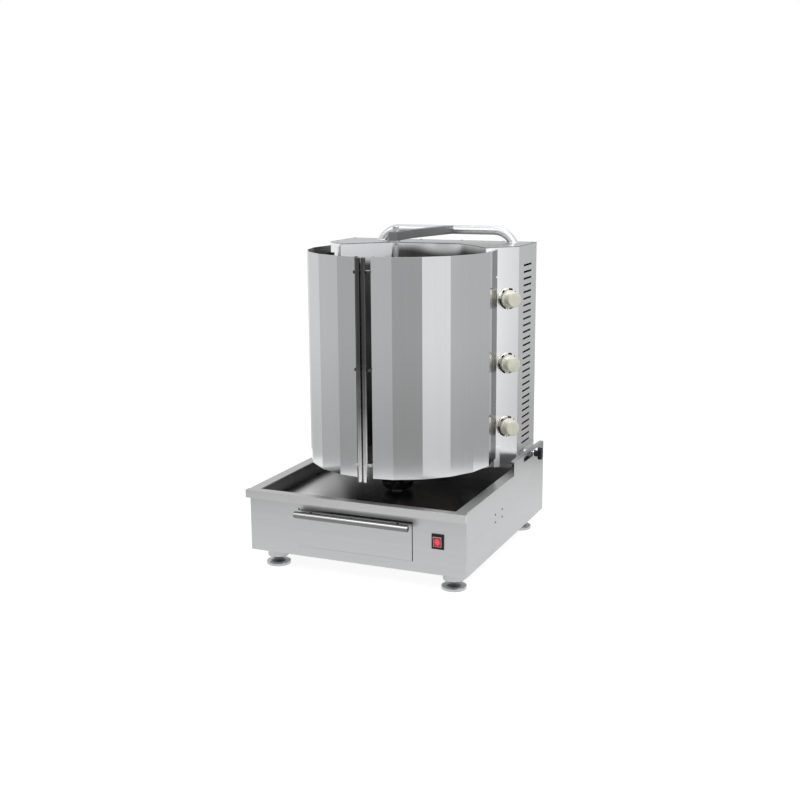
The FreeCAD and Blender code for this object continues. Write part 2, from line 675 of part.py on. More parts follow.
def hook_slot():
    """The upright slot that the upper hinge is hooked in from behind."""
    low = UPPER_HINGE_Z + HOOK_SLOT_RISE
    half = HOOK_SLOT_WIDTH / 2 / PANEL_LENGTH
    corners = [on_panel(HOOK_SHARE + side * half, out, 0) for side, out in ((-1, -5), (1, -5), (1, 5), (-1, 5))]
    return prism([(corner.x, corner.y) for corner in corners], low, low + HOOK_SLOT_HEIGHT)


def vented_panel():
    return side_panel().cut(group(side_louvres())).cut(hook_slot())


def side_panel_right():
    panel = vented_panel()
    for z in BURNER_Z:
        panel = panel.cut(rod(SPINDLE_RADIUS + 1.5, on_panel(KNOB_SHARE, -5, z), on_panel(KNOB_SHARE, 5, z)))
    return panel


def side_panel_left():
    return mirrored(vented_panel())


def recess_liner():
    """The reflecting recess behind the spit: two wings and a middle with three burner windows."""
    wing = math.hypot(NOSE[0] - RECESS[0], NOSE[1] - RECESS[1])
    trim = (SHEET + REST_GAP + 0.3) / wing
    start = (NOSE[0] + (RECESS[0] - NOSE[0]) * trim, NOSE[1] + (RECESS[1] - NOSE[1]) * trim)
    path = [start, RECESS, (-RECESS[0], RECESS[1]), (-start[0], start[1])]
    path = path[::-1]
    liner = prism(sheet_outline(path, SHEET), TOWER_BOTTOM + SHEET, TOWER_TOP - SHEET)
    for z in BURNER_Z:
        liner = liner.cut(box(-BURNER_WIDTH / 2, BURNER_WIDTH / 2, RECESS_Y - SHEET, RECESS_Y + 2 * SHEET,
                              z - BURNER_HEIGHT / 2, z + BURNER_HEIGHT / 2))
    return liner


def tower_plan(inset_back=0.0):
    right = [NOSE, SHOULDER, (TOWER_HALF, TOWER_BACK - inset_back)]
    left = [(-x, y) for x, y in reversed(right)]
    return [(-RECESS[0], RECESS[1]), (RECESS[0], RECESS[1])] + right + left


def tower_top():
    """The lid, folded down inside the sides and back."""
    lid = prism(tower_plan(), TOWER_TOP - SHEET, TOWER_TOP)
    inside = SHEET + FACE_GAP
    side = box(TOWER_HALF - inside - SHEET, TOWER_HALF - inside, SHOULDER_Y + 10, TOWER_BACK - 10,
               TOWER_TOP - SHEET - LIP_INSIDE, TOWER_TOP - SHEET)
    return join(lid, *both(side))


def tower_floor():
    """The bottom plate, inside the folded sides."""
    inside = SHEET + FACE_GAP
    shoulder = (TOWER_HALF - inside, SHOULDER_Y + inside / 2)
    nose = (NOSE[0] - 1, NOSE[1] + 2 * SHEET)
    right = [nose, shoulder, (TOWER_HALF - inside, TOWER_BACK - inside)]
    left = [(-x, y) for x, y in reversed(right)]
    middle = [(-RECESS[0], RECESS[1]), (RECESS[0], RECESS[1])]
    return prism(middle + right + left, TOWER_BOTTOM, TOWER_BOTTOM + SHEET)


def back_panel():
    """The rear cover, screwed inside the rear flanges, with two columns of louvres."""
    half = TOWER_HALF - SHEET - FACE_GAP
    y = TOWER_BACK - SHEET
    panel = box(-half, half, y - SHEET, y, TOWER_BOTTOM + SHEET, TOWER_TOP - SHEET)
    middle = (TOWER_TOP + TOWER_BOTTOM) / 2
    slots = []
    for k in range(BACK_LOUVRES):
        z = middle + (k - (BACK_LOUVRES - 1) / 2) * BACK_LOUVRE_PITCH
        slots.append(box(BACK_LOUVRE_INSET, BACK_LOUVRE_INSET + BACK_LOUVRE_LENGTH, y - 2 * SHEET, y + SHEET,
                         z - BACK_LOUVRE_HEIGHT / 2, z + BACK_LOUVRE_HEIGHT / 2))
    slots += [mirrored(slot) for slot in slots]
    panel = panel.cut(group(slots))
    return panel.cut(rod(INLET_THREAD_RADIUS + 1, V(INLET_X, y - 5, INLET_Z), V(INLET_X, y + 5, INLET_Z)))


def glide_runners():
    """Nylon strips under the tower that slide on the rim and the deck."""
    x1 = TOWER_HALF - SHEET
    strip = box(x1 - GLIDE_WIDTH, x1, SHOULDER_Y + 4, TOWER_BACK - 4, RIM_TOP + REST_GAP, TOWER_BOTTOM)
    return group(both(strip))


# Burners

def burner_housings():
    """Pressed boxes behind the recess, each with a flange on the liner and a venturi at its side."""
    cases = []
    y0 = RECESS_Y + SHEET
    for z in BURNER_Z:
        half_w, half_h = BURNER_WIDTH / 2, BURNER_HEIGHT / 2
        case = box(-half_w, half_w, y0, y0 + BURNER_DEPTH, z - half_h, z + half_h)
        flange = box(-half_w - BURNER_FLANGE, half_w + BURNER_FLANGE, y0, y0 + SHEET, z - half_h - BURNER_FLANGE,
                     z + half_h + BURNER_FLANGE)
        case = join(case, flange)
        case = case.cut(box(-half_w + SHEET, half_w - SHEET, y0 - 1, y0 + BURNER_DEPTH - SHEET, z - half_h + SHEET,
                            z + half_h - SHEET))
        y = y0 + BURNER_DEPTH / 2
        case = join(case, rod(VENTURI_RADIUS, V(half_w - 0.1, y, z), V(half_w + VENTURI_LENGTH, y, z)))
        bore = rod(VENTURI_BORE, V(half_w - 2 * SHEET, y, z), V(half_w + VENTURI_LENGTH + 1, y, z))
        cases.append(case.cut(bore))
    return group(cases)


def burner_tiles():
    """Ceramic plates cut into small squares by crossing grooves."""
    tiles = []
    y0 = RECESS_Y + SHEET + TILE_RECESS
    for z in BURNER_Z:
        half_w, half_h = BURNER_WIDTH / 2 - SHEET, BURNER_HEIGHT / 2 - SHEET
        tile = box(-half_w, half_w, y0, y0 + TILE_THICK, z - half_h, z + half_h)
        grooves = []
        for k in range(1, TILE_GROOVES + 1):
            share = 2 * k / (TILE_GROOVES + 1) - 1
            x, h = share * half_w, z + share * half_h
            grooves.append(box(x - TILE_GROOVE / 2, x + TILE_GROOVE / 2, y0 - 1, y0 + 2, z - half_h - 1, z + half_h + 1))
            grooves.append(box(-half_w - 1, half_w + 1, y0 - 1, y0 + 2, h - TILE_GROOVE / 2, h + TILE_GROOVE / 2))
        tiles.append(tile.cut(group(grooves)))
    return group(tiles)


def burner_guard():
    """A welded wire grid that keeps the meat off the burners."""
    y = RECESS_Y - GUARD_STANDOFF
    z0, z1 = BURNER_Z[0] - BURNER_HEIGHT / 2, BURNER_Z[-1] + BURNER_HEIGHT / 2
    half = RECESS_HALF - 10
    wires = []
    for k in range(GUARD_UPRIGHTS):
        x = -half + 2 * half * k / (GUARD_UPRIGHTS - 1)
        wires.append(rod(GUARD_WIRE, V(x, y, z0), V(x, y, z1)))
    for k in range(GUARD_RUNGS):
        z = z0 + 4 + (z1 - z0 - 8) * k / (GUARD_RUNGS - 1)
        wires.append(rod(GUARD_WIRE, V(-half - 3, y + GUARD_LAP, z), V(half + 3, y + GUARD_LAP, z)))
    for x in (-half, half):
        for z in (z0 + 4, z1 - 4):
            wires.append(rod(GUARD_LEG, V(x, y + GUARD_LAP, z), V(x, RECESS_Y, z)))
    return join(*wires)


# Gas train

def valve(z):
    """A gas cock: a brass body behind the panel with its inlet on the manifold."""
    start, end = on_panel(KNOB_SHARE, -SHEET, z), on_panel(KNOB_SHARE, -SHEET - VALVE_LENGTH, z)
    body = rod(VALVE_RADIUS, start, end)
    tail = rod(5, end, on_panel(KNOB_SHARE, -MANIFOLD_INSET, z))
    body = join(body, tail)
    return body.cut(rod(SPINDLE_RADIUS + RUN_FIT, on_panel(KNOB_SHARE, 0, z), on_panel(KNOB_SHARE, -SPINDLE_POCKET, z)))


def valve_spindle(z):
    """The spindle that is pressed in against the valve's spring before it turns."""
    inner = on_panel(KNOB_SHARE, -SPINDLE_POCKET + KNOB_PUSH + 1, z)
    return rod(SPINDLE_RADIUS, inner, on_panel(KNOB_SHARE, KNOB_BACK + KNOB_LENGTH - 8, z))


def dial_plates():
    """Chromed bezels between the panel and each knob."""
    plates = []
    for z in BURNER_Z:
        plate = turned([(SPINDLE_RADIUS + 1.5, 0), (DIAL_RADIUS, 0), (DIAL_RADIUS - 1, DIAL_THICK),
                        (SPINDLE_RADIUS + 1.5, DIAL_THICK)], on_panel(KNOB_SHARE, 0, z), PANEL_OUT)
        plates.append(plate)
    return group(plates)


def gas_knob(z):
    """A moulded knob: a round skirt, a slightly tapered grip and a raised pointer rib."""
    grip = 0.86 * KNOB_RADIUS
    knob = turned([(0, 0), (KNOB_RADIUS, 0), (KNOB_RADIUS, 3), (grip + 0.6, 4.5), (grip, KNOB_LENGTH - 2),
                   (grip - 2, KNOB_LENGTH), (0, KNOB_LENGTH)], on_panel(KNOB_SHARE, KNOB_BACK, z), PANEL_OUT)
    return knob.cut(rod(SPINDLE_RADIUS + RUN_FIT, on_panel(KNOB_SHARE, 0, z),
                        on_panel(KNOB_SHARE, KNOB_BACK + KNOB_LENGTH - 8 + REST_GAP, z)))


def manifold_pipe():
    """The pipe that feeds the three valves, with its run down to the inlet."""
    low = INLET_Z
    top = BURNER_Z[-1] + 20
    at = on_panel(KNOB_SHARE, -MANIFOLD_INSET, 0)
    y_in = TOWER_BACK - 2 * SHEET - INLET_NUT
    elbow = V(INLET_X, y_in - 2 * MANIFOLD_RADIUS, low)
    pipe = rod(MANIFOLD_RADIUS, V(at.x, at.y, low), V(at.x, at.y, top))
    across = join(rod(MANIFOLD_RADIUS, V(at.x, at.y, low), elbow), Part.makeSphere(MANIFOLD_RADIUS, elbow),
                  rod(MANIFOLD_RADIUS, elbow, V(INLET_X, y_in, low)))
    for z in BURNER_Z:
        pipe = pipe.cut(rod(5, on_panel(KNOB_SHARE, -MANIFOLD_INSET, z), on_panel(KNOB_SHARE, 0, z)))
    return join(pipe, across, Part.makeSphere(MANIFOLD_RADIUS + 1.5, V(at.x, at.y, low)))


def gas_inlet():
    """The hose connection: a hexagon inside the rear cover and a threaded spigot outside."""
    y1 = TOWER_BACK + INLET_LENGTH
    y0 = TOWER_BACK - 2 * SHEET
    spigot = rod(INLET_THREAD_RADIUS, V(INLET_X, y0, INLET_Z), V(INLET_X, y1, INLET_Z))
    nut = hexagon(INLET_FLATS, V(0, 0, 0), INLET_NUT)
    nut.Placement = FreeCAD.Placement(V(INLET_X, y0, INLET_Z), FreeCAD.Rotation(Z_AXIS, V(0, -1, 0)))
    return join(spigot, nut).cut(rod(INLET_BORE, V(INLET_X, y0 - 1, INLET_Z), V(INLET_X, y1 + 1, INLET_Z)))


def burner_pipes():
    """Thin pipes from each valve to its burner's venturi."""
    pipes = []
    y = RECESS_Y + SHEET + BURNER_DEPTH / 2
    for z in BURNER_Z:
        start = on_panel(KNOB_SHARE, -SHEET - VALVE_LENGTH / 2, z + VALVE_RADIUS + PIPE_RADIUS)
        elbow = start.add(PANEL_DIR * PIPE_ELBOW)
        bend = V(BURNER_WIDTH / 2 + PIPE_DROP_ROOM, y, start.z)
        pipe = join(rod(PIPE_RADIUS, start, elbow), Part.makeSphere(PIPE_RADIUS, elbow),
                    rod(PIPE_RADIUS, elbow, bend), Part.makeSphere(PIPE_RADIUS, bend),
                    rod(PIPE_RADIUS, bend, V(bend.x, y, z)), Part.makeSphere(PIPE_RADIUS, V(bend.x, y, z)),
                    rod(PIPE_RADIUS, V(bend.x, y, z), V(BURNER_WIDTH / 2 + VENTURI_LENGTH - 4, y, z)))
        pipes.append(pipe)
    return group(pipes)


# Doors

HINGE = on_panel(HINGE_SHARE, HINGE_OUT, 0)
EYE_RADIUS = HINGE_PIN_RADIUS + RUN_FIT + EYE_WALL


def door_path():
    """Plan of the right door's outer face, from the seam round to the hinge eye."""
    step = math.radians(FACET_ANGLE)
    first = (DOOR_RADIUS * math.sin(step), -DOOR_RADIUS * math.cos(step))
    share = SEAM_HALF / first[0]
    edge = (SEAM_HALF, -DOOR_RADIUS + share * (first[1] + DOOR_RADIUS))
    path = [(SEAM_HALF, edge[1] + SEAM_RETURN), edge]
    for k in range(1, FACETS + 1):
        path.append((DOOR_RADIUS * math.sin(k * step), -DOOR_RADIUS * math.cos(k * step)))
    end = path[-1]
    run = math.hypot(HINGE.x - end[0], HINGE.y - end[1])
    lean = math.atan2(HINGE.y - end[1], HINGE.x - end[0]) - math.asin((EYE_RADIUS) / run)
    reach = math.sqrt(run * run - EYE_RADIUS * EYE_RADIUS)
    path.append((end[0] + reach * math.cos(lean), end[1] + reach * math.sin(lean)))
    return path


def right_door():
    """Sheet folded into flats round the spit, returned at the seam and rolled into eyes at the hinge."""
    skin = prism(sheet_outline(door_path(), DOOR_SHEET), DOOR_BOTTOM, DOOR_TOP)
    skin = skin.cut(Part.makeCylinder(EYE_RADIUS - 0.4, DOOR_TOP, V(HINGE.x, HINGE.y, 0)))
    for z in (DOOR_BOTTOM, UPPER_HINGE_Z):
        skin = join(skin, Part.makeCylinder(EYE_RADIUS, EYE_LENGTH, V(HINGE.x, HINGE.y, z)))
    skin = skin.cut(Part.makeCylinder(HINGE_PIN_RADIUS + RUN_FIT, DOOR_TOP, V(HINGE.x, HINGE.y, 0)))
    notch = 2 * EYE_RADIUS + 3
    room = Part.makeCylinder(notch, BRACKET_THICK + 2 * REST_GAP, V(HINGE.x, HINGE.y,
                             UPPER_HINGE_Z - BRACKET_THICK - 2 * REST_GAP))
    return skin.cut(room)


def right_handle():
    """A round bar along the door's edge on three tabs."""
    y = -DOOR_RADIUS - DOOR_ROD_OUT
    z0, z1 = DOOR_BOTTOM - DOOR_ROD_DROP, DOOR_TOP
    bar = rod(DOOR_ROD_RADIUS, V(DOOR_ROD_X, y, z0), V(DOOR_ROD_X, y, z1))
    bar = bar.makeFillet(2, [edge for edge in bar.Edges if edge.BoundBox.ZLength < 0.1])
    back = -DOOR_RADIUS + 2 * SEAM_RETURN / 3
    for z in (DOOR_BOTTOM + ROD_TAB_INSET, (DOOR_BOTTOM + DOOR_TOP) / 2, DOOR_TOP - ROD_TAB_INSET):
        tab = box(DOOR_ROD_X, SEAM_HALF, y + DOOR_ROD_RADIUS / 2, back, z - ROD_TAB / 2, z + ROD_TAB / 2)
        bar = join(bar, tab)
    return bar


def panel_block(first, last, out, low, high):
    """A block on the slanted panel, between two shares of its width, standing out of its face."""
    corners = [on_panel(first, 0, 0), on_panel(last, 0, 0), on_panel(last, out, 0), on_panel(first, out, 0)]
    return prism([(corner.x, corner.y) for corner in corners], low, high)


def right_hinge_brackets():
    """Two brackets on the slanted panel, each with a pin that the door's eye drops over."""
    first, last = HINGE_SHARE - 0.07, HINGE_SHARE + 0.10
    pieces = []
    for z in (DOOR_BOTTOM, UPPER_HINGE_Z):
        top = z - REST_GAP
        low = top - BRACKET_THICK
        tab = panel_block(first, last, HINGE_OUT - 1, low, top)
        tab = join(tab, Part.makeCylinder(EYE_RADIUS + 1, BRACKET_THICK, V(HINGE.x, HINGE.y, low)))
        pieces.append(join(tab, Part.makeCylinder(HINGE_PIN_RADIUS, EYE_LENGTH - 2, V(HINGE.x, HINGE.y, low))))
    leaf = panel_block(last, last + BRACKET_WIDTH / PANEL_LENGTH, BRACKET_LEAF, TOWER_BOTTOM,
                       TOWER_BOTTOM + BRACKET_HEIGHT)
    pieces[0] = join(pieces[0], leaf)
    return group(pieces)


# Arch, arm and pin

ARCH_Z = TOWER_TOP + ARCH_RISE


def arch_tube():
    """A round tube across the lid, bent down at both ends until it meets the lid."""
    half = ARCH_STRAIGHT / 2
    turn = math.radians(75)
    mid = turn / 2
    points = {}
    for side in (-1, 1):
        x = ARCH_X + side * half
        points[side] = [V(x + side * ARCH_BEND * math.sin(a), ARCH_Y, ARCH_Z - ARCH_BEND * (1 - math.cos(a)))
                        for a in (0, mid, turn)]
    left, right = points[-1], points[1]
    wire = Part.Wire([Part.Arc(left[2], left[1], left[0]).toShape(), Part.makeLine(left[0], right[0]),
                      Part.Arc(right[0], right[1], right[2]).toShape()])
    start = V(-math.cos(turn), 0, -math.sin(turn))
    ring = Part.Wire(Part.makeCircle(TUBE_RADIUS, left[2], start))
    tube = wire.makePipeShell([ring], True, False)
    return tube.cut(box(-TOWER_HALF, TOWER_HALF, ARCH_Y - ARCH_BEND, ARCH_Y + ARCH_BEND, 0, TOWER_TOP))


def arm_outline():
    """Plan of the arm: a straight nose over the spit, then a crank back to the tube."""
    path = [(0, SPIT_Y - ARM_NOSE), (0, ARM_CRANK_Y), (ARM_ROOT_X, ARCH_Y)]
    centre = sheet_outline(path, ARM_WIDTH / 2)
    left = centre[len(path):]
    right = [(2 * p[0] - q[0], 2 * p[1] - q[1]) for p, q in zip(path, left[::-1])]
    return right + left


def spit_arm():
    """The bar that holds the spit's top, with the long slot that lets the tower slide."""
    low = ARCH_Z - ARM_HEIGHT / 2
    arm = prism(arm_outline(), low, low + ARM_HEIGHT)
    nose = SPIT_Y - ARM_NOSE
    arm = arm.makeFillet(ARM_CORNER, [edge for edge in arm.Edges
                                      if edge.BoundBox.YMax < nose + 0.1 and edge.BoundBox.ZLength > 1])
    arm = arm.cut(Part.makeCylinder(TUBE_RADIUS, BASE_WIDTH, V(-HALF_W, ARCH_Y, ARCH_Z), X_AXIS))
    arm = arm.cut(box(-HALF_W, HALF_W, ARCH_Y, TOWER_BACK, 0, 2 * TOWER_TOP))
    half = PIN_STEM_RADIUS + REST_GAP / 2
    y0, y1 = SPIT_Y - SLIDE_BACK, SPIT_Y + SLIDE_FORWARD
    slot = join(box(-half, half, y0, y1, 0, 2 * TOWER_TOP),
                Part.makeCylinder(half, 2 * TOWER_TOP, V(0, y0, 0)), Part.makeCylinder(half, 2 * TOWER_TOP, V(0, y1, 0)))
    return arm.cut(slot)


def pin_slider():
    """A flanged bush that rides in the arm's slot and guides the centring pin."""
    low, high = ARCH_Z - ARM_HEIGHT / 2 - REST_GAP, ARCH_Z + ARM_HEIGHT / 2 + REST_GAP
    inner = PIN_RADIUS + RUN_FIT
    return turned([(inner, low - SLIDER_FLANGE), (SLIDER_FLANGE_RADIUS, low - SLIDER_FLANGE), (SLIDER_FLANGE_RADIUS, low),
                   (PIN_STEM_RADIUS, low), (PIN_STEM_RADIUS, high), (SLIDER_FLANGE_RADIUS - 1, high),
                   (SLIDER_FLANGE_RADIUS - 1, high + SLIDER_FLANGE), (inner, high + SLIDER_FLANGE)], V(0, SPIT_Y, 0))


def centring_pin():
    """The knurled pin that is pulled up to free the spit."""
    seat = ARCH_Z + ARM_HEIGHT / 2 + REST_GAP + SLIDER_FLANGE + REST_GAP
    head, top = PIN_HEAD_RADIUS, seat + PIN_HEAD_HEIGHT
    groove = head - 0.8
    tip = SPIT_TOP - PIN_ENGAGE
    return turned([(0, tip), (PIN_RADIUS - 1, tip), (PIN_RADIUS, tip + 1.5), (PIN_RADIUS, seat), (head, seat), (head, seat + 1.6),
                   (groove, seat + 1.9), (groove, seat + 2.6), (head, seat + 2.9), (head, seat + 4.5), (groove, seat + 4.8),
                   (groove, seat + 5.5), (head, seat + 5.8), (head, top - 0.6), (head - 0.6, top), (0, top)], V(0, SPIT_Y, 0))


# Clamps

def clamp_bolts():
    """Studs welded to the tower's sides, each with a shoulder that spaces it from the cheek."""
    shoulder = rod(CLAMP_SHOULDER, V(TOWER_HALF, CLAMP_Y, CLAMP_Z), V(HALF_W - SHEET - REST_GAP, CLAMP_Y, CLAMP_Z))
    stud = rod(CLAMP_STUD_RADIUS, V(TOWER_HALF, CLAMP_Y, CLAMP_Z), V(HALF_W + REST_GAP + CLAMP_STEM_LENGTH, CLAMP_Y, CLAMP_Z))
    return group(both(join(shoulder, stud)))


def clamp_knob():
    """A moulded wing knob with a round stem."""
    x0 = HALF_W + REST_GAP
    x1 = x0 + CLAMP_STEM_LENGTH
    x2 = x1 + CLAMP_HEAD_THICK
    stem = rod(CLAMP_STEM_RADIUS, V(x0, CLAMP_Y, CLAMP_Z), V(x1 + 1, CLAMP_Y, CLAMP_Z))
    reach = (CLAMP_HEAD_HEIGHT - CLAMP_HEAD_WIDTH) / 2
    half = CLAMP_HEAD_WIDTH / 2
    head = box(x1, x2, CLAMP_Y - half, CLAMP_Y + half, CLAMP_Z - reach, CLAMP_Z + reach)
    ends = [rod(half, V(x1, CLAMP_Y, z), V(x2, CLAMP_Y, z)) for z in (CLAMP_Z - reach, CLAMP_Z + reach)]
    head = join(head, *ends)
    head = head.makeFillet(1.8, [edge for edge in head.Edges if edge.BoundBox.XMin > x2 - 0.1])
    knob = join(stem, head)
    return knob.cut(rod(CLAMP_STUD_RADIUS + RUN_FIT, V(HALF_W, CLAMP_Y, CLAMP_Z),
                        V(x0 + CLAMP_STEM_LENGTH + REST_GAP, CLAMP_Y, CLAMP_Z)))


def cable_gland():
    """The lead's strain relief in the rear wall: a flange outside, a nut inside and an empty bore."""
    hole = GLAND_HOLE - RUN_FIT
    inside = -SHEET - GLAND_NUT
    return turned([(GLAND_BORE, inside), (GLAND_NUT_RADIUS, inside), (GLAND_NUT_RADIUS, -SHEET), (hole, -SHEET),
                   (hole, 0), (GLAND_FLANGE, 0), (GLAND_FLANGE - 1, GLAND_PROUD), (GLAND_BORE, GLAND_PROUD)],
                  V(GLAND_X, HALF_D, GLAND_Z), Y_AXIS)


def pieces():
    """Every node by name."""
    nodes = {
        "base_casing": base_casing(), "base_floor": base_floor(), "drip_pan": drip_pan(), "rear_deck": rear_deck(),
        "foot_sockets": foot_sockets(), "foot_locknuts": foot_locknuts(), "drawer_runners": drawer_runners(),
        "spit_motor": spit_motor(), "spit_gearbox": spit_gearbox(), "motor_bracket": motor_bracket(),
        "spit_bearing": spit_bearing(), "switch_body": switch_body(), "cable_gland": cable_gland(),
        "drawer_front": drawer_front(), "drawer_tray": drawer_tray(), "drawer_handle": drawer_handle(),
        "switch_rocker": switch_rocker(), "drive_hub": drive_hub(), "spit_bar": spit_bar(), "meat_disc": meat_disc(),
        "side_panel_right": side_panel_right(), "side_panel_left": side_panel_left(), "recess_liner": recess_liner(),
        "tower_top": tower_top(), "tower_floor": tower_floor(), "back_panel": back_panel(),
        "glide_runners": glide_runners(), "burner_housings": burner_housings(), "burner_tiles": burner_tiles(),
        "burner_guard": burner_guard(), "dial_plates": dial_plates(), "manifold_pipe": manifold_pipe(),
        "burner_pipes": burner_pipes(), "gas_inlet": gas_inlet(), "right_hinge_brackets": right_hinge_brackets(),
        "left_hinge_brackets": mirrored(right_hinge_brackets()), "arch_tube": arch_tube(), "spit_arm": spit_arm(),
        "pin_slider": pin_slider(), "centring_pin": centring_pin(), "clamp_bolts": clamp_bolts(),
        "clamp_knob_right": clamp_knob(), "clamp_knob_left": mirrored(clamp_knob()),
        "right_door": right_door(), "left_door": mirrored(right_door()),
        "right_door_handle": right_handle(), "left_door_handle": mirrored(right_handle()),
    }
    for k, centre in enumerate(foot_centres(), start=1):
        nodes["levelling_foot_%d" % k] = levelling_foot(centre)
    for k, z in enumerate(BURNER_Z, start=1):
        nodes["gas_valve_%d" % k] = valve(z)
        nodes["valve_spindle_%d" % k] = valve_spindle(z)
        nodes["gas_knob_%d" % k] = gas_knob(z)
    return nodes


os.makedirs("parts", exist_ok=True)
for name, shape in pieces().items():
    shape = shape.copy()
    shape.translate(ROW_SHIFT)
    shape.exportStep("parts/%s.step" % name)
    print(name, len(shape.Solids), shape.isValid(), round(shape.Volume))
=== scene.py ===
# %% [markdown]
# # A table-top doner kebab grill in stainless steel
#
# The grill is a folded steel base with a drip pan and a grease drawer. A tower with three gas
# burners slides on it, and two faceted doors close round an upright spit. The CAD model already
# holds every piece that carries, moves or fastens. This lesson dresses it: it gives each piece its
# finish, adds the small things that CAD leaves out, and sets up the studio and the camera.

# %% Load the frame
import json
import math

import bmesh
import bpy
from mathutils import Matrix, Vector


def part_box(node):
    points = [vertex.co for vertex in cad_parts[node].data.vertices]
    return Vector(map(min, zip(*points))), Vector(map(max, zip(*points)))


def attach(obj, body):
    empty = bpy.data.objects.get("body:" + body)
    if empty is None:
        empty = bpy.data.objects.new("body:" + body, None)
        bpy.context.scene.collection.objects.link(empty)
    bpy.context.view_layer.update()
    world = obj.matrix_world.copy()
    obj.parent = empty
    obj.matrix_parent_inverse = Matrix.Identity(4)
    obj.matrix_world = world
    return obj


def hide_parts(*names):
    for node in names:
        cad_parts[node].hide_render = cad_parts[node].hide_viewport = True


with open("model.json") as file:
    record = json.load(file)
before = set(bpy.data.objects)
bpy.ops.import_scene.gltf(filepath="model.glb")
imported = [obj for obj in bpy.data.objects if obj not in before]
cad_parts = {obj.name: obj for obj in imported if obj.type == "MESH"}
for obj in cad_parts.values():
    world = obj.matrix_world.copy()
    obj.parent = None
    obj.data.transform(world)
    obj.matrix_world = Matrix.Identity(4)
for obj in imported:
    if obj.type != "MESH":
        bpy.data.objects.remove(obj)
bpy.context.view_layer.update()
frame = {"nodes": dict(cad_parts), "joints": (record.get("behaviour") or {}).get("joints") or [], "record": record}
MM = 0.001
joints = {joint["name"]: joint for joint in frame["joints"]}
print("CAD nodes:", len(frame["nodes"]), "joints:", len(joints))

# %% [markdown]
# ## Shader maths as plain expressions
#
# A material is a tree of nodes, and building one link by link hides the idea behind it. Here a
# wire stands for one output of a node. Adding or multiplying wires adds the Math nodes, so a
# pattern reads like a formula. Every other node comes from one method that takes its type, its
# settings and what its sockets get.

# %% The wire


class Wire:
    """One output socket of a shader tree, which can be used in arithmetic."""

    def __init__(self, tree, socket):
        self.tree = tree
        self.socket = socket

    def node(self, kind, settings=None, values=None, output=0):
        """Adds a node: first its settings, then a value or a wire for each named socket."""
        made = self.tree.nodes.new(kind)
        for name, value in (settings or {}).items():
            if name == "stops":
                ramp = made.color_ramp
                ramp.elements.remove(ramp.elements[1])
                ramp.elements[0].position, ramp.elements[0].color = value[0]
                for place, colour in value[1:]:
                    ramp.elements.new(place).color = colour
            else:
                setattr(made, name, value)
        for name, value in (values or {}).items():
            if isinstance(value, Wire):
                self.tree.links.new(value.socket, made.inputs[name])
            else:
                made.inputs[name].default_value = value
        return Wire(self.tree, made.outputs[output])

    def maths(self, operation, first, second):
        return self.node("ShaderNodeMath", {"operation": operation}, {0: first, 1: second})

    def __add__(self, other):
        return self.maths("ADD", self, other)

    __radd__ = __add__

    def __mul__(self, other):
        return self.maths("MULTIPLY", self, other)

    __rmul__ = __mul__

    def __sub__(self, other):
        return self.maths("SUBTRACT", self, other)

    def __rsub__(self, other):
        return self.maths("SUBTRACT", other, self)

    def __truediv__(self, other):
        return self.maths("DIVIDE", self, other)

    def larger(self, other):
        return self.maths("MAXIMUM", self, other)

    def blend(self, none, full):
        """Goes from one colour to another as this wire goes from 0 to 1."""
        return self.node("ShaderNodeMix", {"data_type": "RGBA"}, {0: self, 6: none, 7: full}, 2)

    def smooth(self, low, high):
        """Rises from 0 at low to 1 at high with a soft start and end."""
        return self.node("ShaderNodeMapRange", {"interpolation_type": "SMOOTHSTEP"},
                         {"Value": self, "From Min": low, "From Max": high})

    def stretched(self, across):
        """Coordinates multiplied by a number of their own along X, Y and Z."""
        return self.node("ShaderNodeMapping", None, {"Vector": self, "Scale": across})

    def along(self, axis):
        """One of the three numbers of a place or a direction: 0 for X, 1 for Y and 2 for Z."""
        return self.node("ShaderNodeSeparateXYZ", None, {"Vector": self}, axis)

    def noise(self, scale=1.0, detail=2.0):
        return self.node("ShaderNodeTexNoise", None,
                         {"Vector": self, "Scale": scale, "Detail": detail})

    def bump(self, strength, depth):
        """Turns a height into a normal; depth is how tall the full height is, in metres."""
        return self.node("ShaderNodeBump", None,
                         {"Height": self, "Strength": strength, "Distance": depth})


print("a wire can:", ", ".join(name for name in vars(Wire) if not name.startswith("_")))

# %% Starting and closing a material


def new_finish(name, **constants):
    """A material with its shader, and a wire that carries the place on the piece."""
    material = bpy.data.materials.new(name)
    material.use_nodes = True
    tree = material.node_tree
    shader = tree.nodes["Principled BSDF"]
    for socket, value in constants.items():
        shader.inputs[socket.replace("_", " ")].default_value = value
    where = Wire(tree, tree.nodes.new("ShaderNodeTexCoord").outputs["Object"])
    return material, shader, where


def feed(material, shader, wires):
    """Leads each wire to the shader's socket of that name."""
    for socket, wire in wires.items():
        material.node_tree.links.new(wire.socket, shader.inputs[socket])
    return material


def grey(level, tint=0.0):
    """A neutral colour; a positive tint is a little bluer, as most steel is."""
    return (level * (1 - tint), level, level * (1 + tint), 1.0)


STEEL_TINT = 0.01
print("middle grey of steel:", grey(0.5, STEEL_TINT))

# %% [markdown]
# ## Sheet steel
#
# Stainless sheet is brushed in one direction. Up close that is a field of hair-fine scratches,
# and from a step away it shows as soft streaks and a blur of whatever it mirrors. Both can come
# from one idea: noise that is squeezed across the brushing and stretched along it. A fine layer
# feeds the bump and the roughness, a broad layer moves the tone, and a slow cloud stands for the
# uneven pressure of rolling and wiping.

